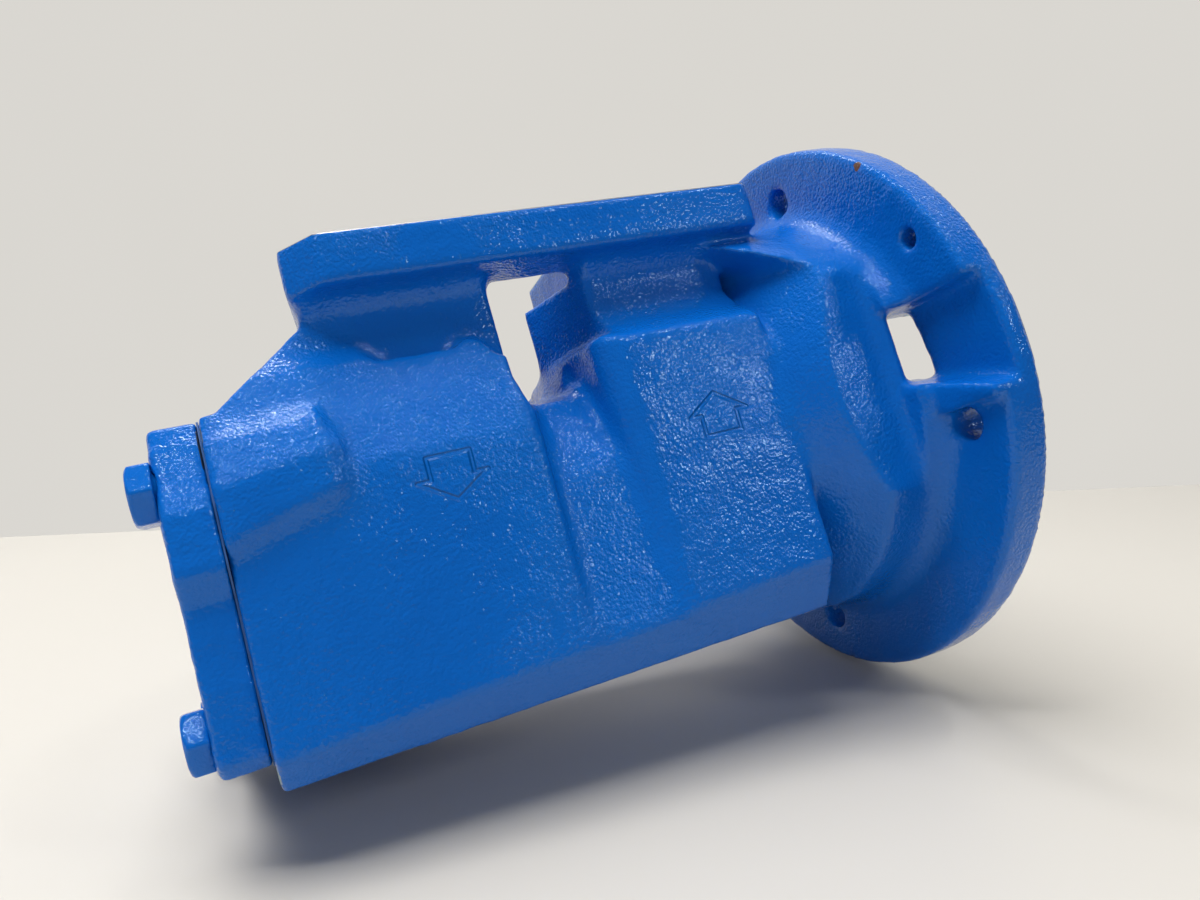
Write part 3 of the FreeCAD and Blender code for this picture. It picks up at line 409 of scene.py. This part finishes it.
BODY_BOXES = [
    ((-0.0007, -0.2, -0.2), (0.01, 0.2, 0.2)),                 # mounting face and spigot
    ((-0.21, -0.05, 0.0793), (-0.03, 0.05, 0.09)),             # port faces
    ((-0.24, -0.044, -0.065), (-0.2290, 0.044, 0.031)),        # rear face
    ((-0.2300, -0.0140, -0.0194), (-0.0915, 0.0140, 0.0194)),  # screws' bore
    ((-0.2300, -0.0230, -0.0160), (-0.0915, 0.0230, 0.0160)),
    ((-0.2300, -0.0208, -0.0240), (-0.1900, 0.0208, 0.0300)),  # inlet passage
    ((-0.1910, -0.0208, 0.0000), (-0.1485, 0.0208, 0.0530)),
    ((-0.0950, -0.0208, -0.0180), (-0.0610, 0.0208, 0.0530)),  # outlet passage
]
BODY_BORES = [
    ("X", (0.0, 0.0, 0.0), 0.0226, (-0.2300, -0.0915)),        # screws' bore
    ("X", (0.0, 0.0228, 0.0), 0.0151, (-0.2300, -0.0915)),
    ("X", (0.0, -0.0228, 0.0), 0.0151, (-0.2300, -0.0915)),
    ("X", (0.0, 0.0, 0.0), 0.0446, (-0.0510, -0.0397)),        # seat of the front cover
    ("X", (0.0, 0.0, 0.0), 0.0242, (-0.0750, -0.0490)),        # seat of the bearing
    ("X", (0.0, 0.0, -0.045), 0.0096, (-0.2300, -0.1110)),     # relief valve
    ("X", (0.0, 0.0, -0.045), 0.0066, (-0.1130, -0.0800)),
    ("Z", (-0.166, 0.0, 0.0), 0.0166, (0.0400, 0.0900)),       # ports
    ("Z", (-0.078, 0.0, 0.0), 0.0166, (0.0400, 0.0900)),
]
COVER_BOXES = [((-0.2306, -0.044, -0.057), (-0.2, 0.044, 0.031))]
COVER_BORES = [("X", (0.0, 0.0, -0.045), 0.0130, (-0.2440, -0.2290))]
FLANGE_HOLE_CIRCLE, FLANGE_HOLE_START, FLANGE_HOLE_R = 0.0825, -16.0, 0.0055
JACK_HOLE_CIRCLE, JACK_HOLE_START, JACK_HOLE_R = 0.0890, 26.0, 0.0034


def holes_on_circle(count, circle, start, radius, span):
    """Bores along X, evenly spaced on a circle and counted from the near side upwards."""
    angles = [math.radians(start + 360.0 * i / count) for i in range(count)]
    return [("X", (0.0, -circle * math.cos(a), circle * math.sin(a)), radius, span) for a in angles]


HOLE_MARGIN, FLANGE_SPAN = 0.0009, (-0.03, 0.01)
FLANGE_HOLES = holes_on_circle(4, FLANGE_HOLE_CIRCLE, FLANGE_HOLE_START,
                               FLANGE_HOLE_R + HOLE_MARGIN, FLANGE_SPAN)
FLANGE_HOLES += holes_on_circle(2, JACK_HOLE_CIRCLE, JACK_HOLE_START,
                                JACK_HOLE_R + HOLE_MARGIN, FLANGE_SPAN)


def inside_any(points, boxes, bores):
    """True for each point that lies in one of the boxes or bores."""
    hit = np.zeros(len(points), bool)
    for low, high in boxes:
        hit |= np.all((points > low) & (points < high), axis=1)
    for axis, centre, radius, (start, end) in bores:
        along = "XYZ".index(axis)
        off = points - centre
        off[:, along] = 0.0
        reach = points[:, along]
        hit |= (np.linalg.norm(off, axis=1) < radius) & (reach > start) & (reach < end)
    return hit


def body_cast_share(points):
    return np.where(inside_any(points, BODY_BOXES, BODY_BORES + FLANGE_HOLES), 0.0, 1.0)


def cover_cast_share(points):
    return np.where(inside_any(points, COVER_BOXES, COVER_BORES), 0.0, 1.0)


def bolt_cast_share(points):
    return np.ones(len(points))


# Shader groups

def math_node(tree, operation, a, b=None, c=None, clamp=False):
    """A Math node whose inputs are numbers or other nodes' outputs."""
    node = tree.nodes.new("ShaderNodeMath")
    node.operation = operation
    node.use_clamp = clamp
    for socket, value in zip(node.inputs, (a, b, c)):
        if isinstance(value, (int, float)):
            socket.default_value = value
        elif value is not None:
            tree.links.new(value, socket)
    return node.outputs[0]


def vector_node(tree, operation, a, b=None):
    node = tree.nodes.new("ShaderNodeVectorMath")
    node.operation = operation
    for socket, value in zip(node.inputs, (a, b)):
        if isinstance(value, tuple):
            socket.default_value = value
        elif value is not None:
            tree.links.new(value, socket)
    return node.outputs["Value"] if operation == "LENGTH" else node.outputs["Vector"]


def noise_node(tree, place, scale, detail=2.0, roughness=0.5):
    node = tree.nodes.new("ShaderNodeTexNoise")
    node.inputs["Detail"].default_value = detail
    node.inputs["Roughness"].default_value = roughness
    tree.links.new(place, node.inputs["Vector"])
    if isinstance(scale, (int, float)):
        node.inputs["Scale"].default_value = scale
    else:
        tree.links.new(scale, node.inputs["Scale"])
    return node.outputs["Fac"]


def range_node(tree, value, from_min, from_max, to_min, to_max):
    node = tree.nodes.new("ShaderNodeMapRange")
    node.interpolation_type = "SMOOTHSTEP"
    tree.links.new(value, node.inputs["Value"])
    ends = {"From Min": from_min, "From Max": from_max, "To Min": to_min, "To Max": to_max}
    for name, number in ends.items():
        node.inputs[name].default_value = number
    return node.outputs["Result"]


def new_group(name, inputs, outputs):
    tree = bpy.data.node_groups.new(name, "ShaderNodeTree")
    for label, kind, default in inputs:
        socket = tree.interface.new_socket(name=label, in_out="INPUT", socket_type=kind)
        if default is not None:
            socket.default_value = default
    for label in outputs:
        tree.interface.new_socket(name=label, in_out="OUTPUT", socket_type="NodeSocketFloat")
    return tree, tree.nodes.new("NodeGroupInput").outputs, tree.nodes.new("NodeGroupOutput").inputs


def sand_grain_group():
    """Height of sand-cast skin under paint, in millimetres: close pebbles that are strong in patches,
    over wider soft dents that run everywhere."""
    inputs = [("Vector", "NodeSocketVector", None), ("Pebbles per metre", "NodeSocketFloat", 950.0),
              ("Pebble height", "NodeSocketFloat", 0.1), ("Dent depth", "NodeSocketFloat", 0.1)]
    tree, given, out = new_group("sand_grain", inputs, ["Height"])
    place, rate = given["Vector"], given["Pebbles per metre"]
    pebbles = noise_node(tree, place, rate, 1.0, 0.45)
    dents = noise_node(tree, place, math_node(tree, "MULTIPLY", rate, 0.28), 1.0, 0.4)
    clouds = noise_node(tree, place, math_node(tree, "MULTIPLY", rate, 0.026), 2.0)
    patches = range_node(tree, clouds, 0.36, 0.62, 0.5, 1.0)
    grain = math_node(tree, "MULTIPLY", math_node(tree, "MULTIPLY", pebbles, given["Pebble height"]), patches)
    whole = math_node(tree, "MULTIPLY_ADD", dents, given["Dent depth"], grain)
    tree.links.new(whole, out["Height"])
    return tree


def chips_group():
    """Small worn places: where a noise runs above the threshold, and more readily close to one point."""
    inputs = [("Vector", "NodeSocketVector", None), ("Chips per metre", "NodeSocketFloat", 160.0),
              ("Threshold", "NodeSocketFloat", 0.7), ("Knock", "NodeSocketVector", (0.0, 0.0, 0.0)),
              ("Knock radius", "NodeSocketFloat", 0.002)]
    tree, given, out = new_group("chips", inputs, ["Mask"])
    specks = noise_node(tree, given["Vector"], given["Chips per metre"], 5.0, 0.65)
    away = vector_node(tree, "LENGTH", vector_node(tree, "SUBTRACT", given["Vector"], given["Knock"]))
    share = math_node(tree, "DIVIDE", away, given["Knock radius"])
    close = math_node(tree, "SUBTRACT", 1.0, share, clamp=True)
    raised = math_node(tree, "MULTIPLY_ADD", close, 0.45, specks)
    over = math_node(tree, "SUBTRACT", raised, given["Threshold"])
    tree.links.new(math_node(tree, "MULTIPLY", over, 30.0, clamp=True), out["Mask"])
    return tree


def machined_group(name, boxes, bores):
    """1 inside any of the boxes and bores, where the paint was turned or milled away."""
    tree, given, out = new_group(name, [("Vector", "NodeSocketVector", None)], ["Mask"])
    found = None
    for low, high in boxes:
        centre = tuple((a + b) / 2 for a, b in zip(low, high))
        half = tuple((b - a) / 2 for a, b in zip(low, high))
        off = vector_node(tree, "ABSOLUTE", vector_node(tree, "SUBTRACT", given["Vector"], centre))
        out_by = tree.nodes.new("ShaderNodeSeparateXYZ")
        tree.links.new(vector_node(tree, "SUBTRACT", off, half), out_by.inputs[0])
        most = math_node(tree, "MAXIMUM", math_node(tree, "MAXIMUM", out_by.outputs[0], out_by.outputs[1]),
                         out_by.outputs[2])
        hit = math_node(tree, "LESS_THAN", most, 0.0)
        found = hit if found is None else math_node(tree, "MAXIMUM", found, hit)
    for axis, centre, radius, (start, end) in bores:
        along = "XYZ".index(axis)
        flat = tuple(0.0 if k == along else 1.0 for k in range(3))
        off = vector_node(tree, "MULTIPLY", vector_node(tree, "SUBTRACT", given["Vector"], centre), flat)
        near = math_node(tree, "LESS_THAN", vector_node(tree, "LENGTH", off), radius)
        parts = tree.nodes.new("ShaderNodeSeparateXYZ")
        tree.links.new(given["Vector"], parts.inputs[0])
        reach = math_node(tree, "SUBTRACT", parts.outputs[along], (start + end) / 2)
        within = math_node(tree, "LESS_THAN", math_node(tree, "ABSOLUTE", reach), (end - start) / 2)
        hit = math_node(tree, "MULTIPLY", near, within)
        found = math_node(tree, "MAXIMUM", found, hit)
    tree.links.new(found, out["Mask"])
    return tree


# Flow arrows engraved in the near side: centre (x, z) of each, then half sizes and width of the line
ARROW_INLET, ARROW_OUTLET = (-0.1675, 0.0017), (-0.0793, 0.0026)
ARROW_ROOF, ARROW_SHAFT, ARROW_H, ARROW_LINE = 0.0104, 0.0064, 0.0067, 0.0007


def arrow_group():
    """1 in the grooves of the two house-shaped arrows. Each point is folded onto the right half of an arrow,
    and the least of its distances to base, wall, shoulder and roof gives the groove."""
    tree, given, out = new_group("flow_arrows", [("Vector", "NodeSocketVector", None)], ["Mask"])
    parts = tree.nodes.new("ShaderNodeSeparateXYZ")
    tree.links.new(given["Vector"], parts.inputs[0])
    x, y, z = parts.outputs
    middle = (ARROW_INLET[0] + ARROW_OUTLET[0]) / 2
    front = math_node(tree, "GREATER_THAN", x, middle)
    centre_x = math_node(tree, "MULTIPLY_ADD", front, ARROW_OUTLET[0] - ARROW_INLET[0], ARROW_INLET[0])
    centre_z = math_node(tree, "MULTIPLY_ADD", front, ARROW_OUTLET[1] - ARROW_INLET[1], ARROW_INLET[1])
    up = math_node(tree, "MULTIPLY_ADD", front, 2.0, -1.0)
    u = math_node(tree, "ABSOLUTE", math_node(tree, "SUBTRACT", x, centre_x))
    v = math_node(tree, "MULTIPLY", math_node(tree, "SUBTRACT", z, centre_z), up)

    def length(a, b):
        squares = math_node(tree, "MULTIPLY_ADD", a, a, math_node(tree, "MULTIPLY", b, b))
        return math_node(tree, "SQRT", squares)

    def beyond(value, centre, half):
        off = math_node(tree, "ABSOLUTE", math_node(tree, "SUBTRACT", value, centre))
        return math_node(tree, "MAXIMUM", math_node(tree, "SUBTRACT", off, half), 0.0)

    base = length(beyond(u, 0.0, ARROW_SHAFT), math_node(tree, "ADD", v, ARROW_H))
    side = length(math_node(tree, "SUBTRACT", u, ARROW_SHAFT), beyond(v, -ARROW_H / 2, ARROW_H / 2))
    step = length(beyond(u, (ARROW_SHAFT + ARROW_ROOF) / 2, (ARROW_ROOF - ARROW_SHAFT) / 2), v)
    run = ARROW_ROOF ** 2 + ARROW_H ** 2
    from_eave = math_node(tree, "SUBTRACT", u, ARROW_ROOF)
    inward = math_node(tree, "MULTIPLY", from_eave, -ARROW_ROOF / run)
    share = math_node(tree, "MULTIPLY_ADD", v, ARROW_H / run, inward, clamp=True)
    roof = length(math_node(tree, "MULTIPLY_ADD", share, ARROW_ROOF, from_eave),
                  math_node(tree, "MULTIPLY_ADD", share, -ARROW_H, v))
    lower = math_node(tree, "MINIMUM", base, side)
    least = math_node(tree, "MINIMUM", lower, math_node(tree, "MINIMUM", step, roof))
    groove = range_node(tree, least, 0.35 * ARROW_LINE, 1.25 * ARROW_LINE, 1.0, 0.0)
    near_side = math_node(tree, "LESS_THAN", y, -0.0465)
    tree.links.new(math_node(tree, "MULTIPLY", groove, near_side), out["Mask"])
    return tree


sand_grain = sand_grain_group()
chips = chips_group()
body_machined = machined_group("body_machined", BODY_BOXES, BODY_BORES)
cover_machined = machined_group("cover_machined", COVER_BOXES, COVER_BORES)
flow_arrows = arrow_group()


def new_material(name):
    m = bpy.data.materials.new(name)
    m.use_nodes = True
    m.node_tree.nodes.clear()
    out = m.node_tree.nodes.new("ShaderNodeOutputMaterial")
    shader = m.node_tree.nodes.new("ShaderNodeBsdfPrincipled")
    m.node_tree.links.new(shader.outputs["BSDF"], out.inputs["Surface"])
    return m, m.node_tree.nodes, m.node_tree.links, shader


def mix_colour(n, l, factor, dark, light):
    mix = n.new("ShaderNodeMix")
    mix.data_type = "RGBA"
    for socket, value in ((mix.inputs["A"], dark), (mix.inputs["B"], light)):
        if isinstance(value, tuple):
            socket.default_value = value + (1.0,)
        else:
            l.new(value, socket)
    l.new(factor, mix.inputs["Factor"])
    return mix.outputs["Result"]


def placed_group(tree, group, place, **values):
    node = tree.nodes.new("ShaderNodeGroup")
    node.node_tree = group
    tree.links.new(place, node.inputs["Vector"])
    for label, value in values.items():
        node.inputs[label.replace("_", " ")].default_value = value
    return node.outputs


PAINT_DARK, PAINT_LIGHT = (0.0012, 0.098, 0.455), (0.0024, 0.132, 0.55)
RUST = (0.12, 0.055, 0.036)
BARE_DARK, BARE_LIGHT = (0.30, 0.29, 0.28), (0.42, 0.41, 0.40)
PAINT_ROUGHNESS, RUST_ROUGHER, BARE_ROUGHER = 0.085, 0.5, 0.22
RIM_KNOCK, RIM_KNOCK_R = (-0.0138, -0.0690, 0.0703), 0.0026


def blue_enamel(name, pebbles, pebble_height, dent_depth, machined=None, arrows=None):
    """Thick glossy blue enamel over sand-cast iron, chipped to rust in places and bare where machined."""
    m, n, l, shader = new_material(name)
    tree = m.node_tree
    place = n.new("ShaderNodeTexCoord").outputs["Object"]
    grain = placed_group(tree, sand_grain, place, Pebbles_per_metre=pebbles, Pebble_height=pebble_height,
                         Dent_depth=dent_depth)
    worn = placed_group(tree, chips, place, Chips_per_metre=170.0, Threshold=0.76,
                        Knock=RIM_KNOCK, Knock_radius=RIM_KNOCK_R)["Mask"]
    cloudy = noise_node(tree, place, 24.0, 3.0)
    paint = mix_colour(n, l, cloudy, PAINT_DARK, PAINT_LIGHT)
    colour = mix_colour(n, l, worn, paint, RUST)
    gloss = math_node(tree, "MULTIPLY_ADD", worn, RUST_ROUGHER, PAINT_ROUGHNESS)
    height = grain["Height"]
    if arrows is not None:
        cut_in = placed_group(tree, arrows, place)["Mask"]
        height = math_node(tree, "MULTIPLY_ADD", cut_in, -0.9, height)
    if machined is not None:
        bare = placed_group(tree, machined, place)["Mask"]
        iron = mix_colour(n, l, cloudy, BARE_DARK, BARE_LIGHT)
        colour = mix_colour(n, l, bare, colour, iron)
        gloss = math_node(tree, "MULTIPLY_ADD", bare, BARE_ROUGHER, gloss)
        height = math_node(tree, "MULTIPLY", height, math_node(tree, "MULTIPLY_ADD", bare, -0.95, 1.0))
        l.new(bare, shader.inputs["Metallic"])
    l.new(colour, shader.inputs["Base Color"])
    l.new(gloss, shader.inputs["Roughness"])
    shader.inputs["IOR"].default_value = 1.5
    shader.inputs["Specular Tint"].default_value = (0.62, 0.90, 1.0, 1.0)
    bump = n.new("ShaderNodeBump")
    bump.inputs["Distance"].default_value = 0.001
    l.new(height, bump.inputs["Height"])
    l.new(bump.outputs["Normal"], shader.inputs["Normal"])
    return m


def machined_metal(name, colour, roughness, lines_per_metre, relief, metallic=1.0):
    """Turned or ground metal: fine lines across the shaft's direction and a little oil staining."""
    m, n, l, shader = new_material(name)
    place = n.new("ShaderNodeTexCoord").outputs["Object"]
    stretch = n.new("ShaderNodeMapping")
    stretch.inputs["Scale"].default_value = (lines_per_metre, lines_per_metre * 0.04, lines_per_metre * 0.04)
    l.new(place, stretch.inputs["Vector"])
    lines = n.new("ShaderNodeTexNoise")
    lines.inputs["Scale"].default_value = 1.0
    lines.inputs["Detail"].default_value = 2.0
    l.new(stretch.outputs["Vector"], lines.inputs["Vector"])
    stain = n.new("ShaderNodeTexNoise")
    stain.inputs["Scale"].default_value = 70.0
    stain.inputs["Detail"].default_value = 4.0
    l.new(place, stain.inputs["Vector"])
    dark = tuple(c * 0.72 for c in colour)
    l.new(mix_colour(n, l, stain.outputs["Fac"], dark, colour), shader.inputs["Base Color"])
    rough = n.new("ShaderNodeMapRange")
    rough.inputs["To Min"].default_value = roughness * 0.8
    rough.inputs["To Max"].default_value = roughness * 1.3
    l.new(stain.outputs["Fac"], rough.inputs["Value"])
    l.new(rough.outputs["Result"], shader.inputs["Roughness"])
    shader.inputs["Metallic"].default_value = metallic
    bump = n.new("ShaderNodeBump")
    bump.inputs["Strength"].default_value = 0.6
    bump.inputs["Distance"].default_value = relief
    l.new(lines.outputs["Fac"], bump.inputs["Height"])
    l.new(bump.outputs["Normal"], shader.inputs["Normal"])
    return m


def plain_solid(name, colour, roughness, grain, relief):
    """Rubber, fibre, ceramic or carbon: a plain body colour with a fine even grain."""
    m, n, l, shader = new_material(name)
    place = n.new("ShaderNodeTexCoord").outputs["Object"]
    speckle = n.new("ShaderNodeTexNoise")
    speckle.inputs["Scale"].default_value = grain
    speckle.inputs["Detail"].default_value = 3.0
    l.new(place, speckle.inputs["Vector"])
    dark = tuple(c * 0.75 for c in colour)
    l.new(mix_colour(n, l, speckle.outputs["Fac"], dark, colour), shader.inputs["Base Color"])
    shader.inputs["Roughness"].default_value = roughness
    bump = n.new("ShaderNodeBump")
    bump.inputs["Distance"].default_value = relief
    l.new(speckle.outputs["Fac"], bump.inputs["Height"])
    l.new(bump.outputs["Normal"], shader.inputs["Normal"])
    return m


def one_sided(name, colour, roughness, lit):
    """Pale sheet that is clear from behind. Unless it is lit by the lamps, the camera and reflections see
    its own colour, and only the light that falls on the pump comes from its lit surface."""
    m, n, l, shader = new_material(name)
    tree = m.node_tree
    place = n.new("ShaderNodeTexCoord").outputs["Object"]
    dark = tuple(c * 0.955 for c in colour)
    tone = mix_colour(n, l, noise_node(tree, place, 2.4, 3.0), dark, colour)
    l.new(tone, shader.inputs["Base Color"])
    shader.inputs["Roughness"].default_value = roughness
    seen = shader.outputs["BSDF"]
    if not lit:
        path = n.new("ShaderNodeLightPath").outputs
        rays = math_node(tree, "ADD", math_node(tree, "ADD", path["Is Camera Ray"], path["Is Glossy Ray"]),
                         path["Is Transmission Ray"], clamp=True)
        own = n.new("ShaderNodeEmission")
        l.new(tone, own.inputs["Color"])
        seen = mix_shaders(n, l, rays, seen, own.outputs["Emission"])
    clear = n.new("ShaderNodeBsdfTransparent").outputs["BSDF"]
    both = mix_shaders(n, l, n.new("ShaderNodeNewGeometry").outputs["Backfacing"], seen, clear)
    out = next(x for x in n if x.type == "OUTPUT_MATERIAL")
    l.new(both, out.inputs["Surface"])
    return m


def mix_shaders(n, l, factor, first, second):
    mix = n.new("ShaderNodeMixShader")
    l.new(factor, mix.inputs["Fac"])
    l.new(first, mix.inputs[1])
    l.new(second, mix.inputs[2])
    return mix.outputs["Shader"]


# Painted castings

enamel_body = blue_enamel("body_enamel", 950.0, 0.45, 0.14, body_machined, flow_arrows)
enamel_cover = blue_enamel("cover_enamel", 950.0, 0.34, 0.12, cover_machined)
enamel_bolts = blue_enamel("bolt_enamel", 1100.0, 0.22, 0.10)
body_skin = merged_copy("body_casting", "pump_body")
shape_body(body_skin)
body_cell, body_rounds, body_keep = ((0.0011, 24, 0.40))
cast_skin(body_skin, body_cell, body_rounds, body_keep, 0.00007, body_cast_share)
cover_skin = merged_copy("cover_casting", "rear_cover")
cover_cell, cover_rounds = ((0.0009, 12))
cast_skin(cover_skin, cover_cell, cover_rounds, 0.6, 0.00010, cover_cast_share)
bolt_skin = merged_copy("painted_cover_bolts", "rear_cover_bolts")
bolt_cell = 0.0006
cast_skin(bolt_skin, bolt_cell, 6, 0.6, 0.00003, bolt_cast_share)
for skin, node, material in ((body_skin, "pump_body", enamel_body), (cover_skin, "rear_cover", enamel_cover),
                             (bolt_skin, "rear_cover_bolts", enamel_bolts)):
    skin.data.materials.append(material)
    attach(skin, "housing")
    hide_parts(node)


# Finishes of the pieces inside

finishes = {
    "blue_enamel": enamel_bolts,
    "liner_iron": machined_metal("liner_iron", (0.33, 0.33, 0.34), 0.4, 2500.0, 0.00006),
    "ground_steel": machined_metal("ground_steel", (0.62, 0.62, 0.64), 0.24, 5000.0, 0.00003),
    "bearing_steel": machined_metal("bearing_steel", (0.72, 0.72, 0.73), 0.12, 6000.0, 0.00001),
    "spring_steel": machined_metal("spring_steel", (0.30, 0.30, 0.32), 0.33, 4000.0, 0.00003),
    "black_steel": machined_metal("black_steel", (0.05, 0.05, 0.055), 0.42, 3000.0, 0.00003),
    "bronze": machined_metal("bronze", (0.56, 0.35, 0.16), 0.3, 4000.0, 0.00003),
    "brass": machined_metal("brass", (0.72, 0.53, 0.24), 0.28, 4000.0, 0.00003),
    "copper": machined_metal("copper", (0.72, 0.38, 0.25), 0.35, 3000.0, 0.00003),
    "gasket_fibre": plain_solid("gasket_fibre", (0.03, 0.10, 0.30), 0.6, 1800.0, 0.00008),
    "seal_rubber": plain_solid("seal_rubber", (0.02, 0.02, 0.02), 0.5, 2500.0, 0.00003),
    "seal_ceramic": plain_solid("seal_ceramic", (0.82, 0.80, 0.74), 0.2, 900.0, 0.00001),
    "seal_carbon": plain_solid("seal_carbon", (0.045, 0.045, 0.05), 0.38, 3000.0, 0.00002),
}
node_slots = {s["node"]: s["material_slot"] for s in frame["record"]["subparts"]}
for node, obj in nodes.items():
    obj.data.materials.clear()
    obj.data.materials.append(finishes[node_slots[node]])


# Table, wall and light

def flat_sheet(name, centre, across, ahead, half_w, half_d):
    """Rectangle spanned by two unit directions about its centre."""
    corners = [centre - across * half_w - ahead * half_d, centre + across * half_w - ahead * half_d,
               centre + across * half_w + ahead * half_d, centre - across * half_w + ahead * half_d]
    mesh = bpy.data.meshes.new(name)
    mesh.from_pydata([tuple(c) for c in corners], [], [(0, 1, 2, 3)])
    obj = bpy.data.objects.new(name, mesh)
    bpy.context.scene.collection.objects.link(obj)
    return obj


make_camera()
ahead = (CAMERA_AHEAD - TABLE_UP * CAMERA_AHEAD.dot(TABLE_UP)).normalized()
across = ahead.cross(TABLE_UP).normalized()
lowest = float((vertex_array(body_skin.data) @ np.array(TABLE_UP)).min())
foot = CAMERA_PLACE + TABLE_UP * (lowest - CAMERA_PLACE.dot(TABLE_UP))
TABLE_REACH = 0.67             # from under the camera to the table's far edge
table = flat_sheet("table", foot + ahead * (TABLE_REACH - 1.5), across, ahead, 3.0, 1.5)
table.data.materials.append(one_sided("table_top", (0.64, 0.616, 0.572), 0.45, True))
wall = flat_sheet("wall", foot + ahead * 1.3, across, TABLE_UP, 4.0, 3.0)
wall.data.materials.append(one_sided("wall_paint", (0.715, 0.695, 0.655), 0.8, False))


def softbox(name, place, aim, width, height, power, tint, mirrored=True):
    """Area light at a place, aimed at a point. Unless mirrored, it lights but doesn't show in gloss."""
    data = bpy.data.lights.new(name, "AREA")
    data.shape = "RECTANGLE"
    data.size = width
    data.size_y = height
    data.energy = power
    data.color = tint
    lamp = bpy.data.objects.new(name, data)
    turn = (aim - place).to_track_quat("-Z", "Y").to_matrix().to_4x4()
    lamp.matrix_world = Matrix.Translation(place) @ turn
    lamp.visible_glossy = mirrored
    bpy.context.scene.collection.objects.link(lamp)


heart = Vector((-0.12, 0.0, 0.0))


def off_heart(direction, distance):
    """Place at a distance from the pump's middle, in a direction of the pump's own frame."""
    return heart + Vector(direction).normalized() * distance


CEILING_WHITE, ROOM_WHITE, DAYLIGHT = (1.0, 0.99, 0.97), (0.98, 0.99, 1.0), (0.96, 0.98, 1.0)

# Broad light that doesn't show in the gloss, then what does: a soft ceiling, its three rows and a doorway
softbox("ceiling_panel", off_heart((-0.22, -0.30, 0.92), 1.5), heart, 1.2, 0.9, 23.0, CEILING_WHITE, False)
softbox("room_front", off_heart((-0.35, -0.92, 0.0), 1.7), heart, 1.6, 0.9, 5.0, ROOM_WHITE, False)
softbox("ceiling_glow", off_heart((0.02, 0.14, 0.99), 1.5), heart, 0.7, 0.5, 3.0, CEILING_WHITE)
softbox("ceiling_row_left", off_heart((-0.25, -0.55, 0.80), 1.4), heart, 0.7, 0.02, 2.6, CEILING_WHITE)
softbox("ceiling_row_near", off_heart((0.46, -0.52, 0.72), 1.4), heart, 0.5, 0.02, 1.8, CEILING_WHITE)
softbox("ceiling_row_far", off_heart((0.04, 0.02, 0.99), 1.45), heart, 0.9, 0.03, 4.5, CEILING_WHITE)
softbox("doorway_right", off_heart((0.56, -0.80, 0.16), 1.3), heart, 0.10, 0.22, 1.5, DAYLIGHT)

world = bpy.data.worlds.new("room")
bpy.context.scene.world = world
world.use_nodes = True
background = world.node_tree.nodes["Background"]
background.inputs["Color"].default_value = (0.78, 0.79, 0.80, 1.0)
background.inputs["Strength"].default_value = 0.14

bpy.context.scene.view_settings.view_transform = "Standard"
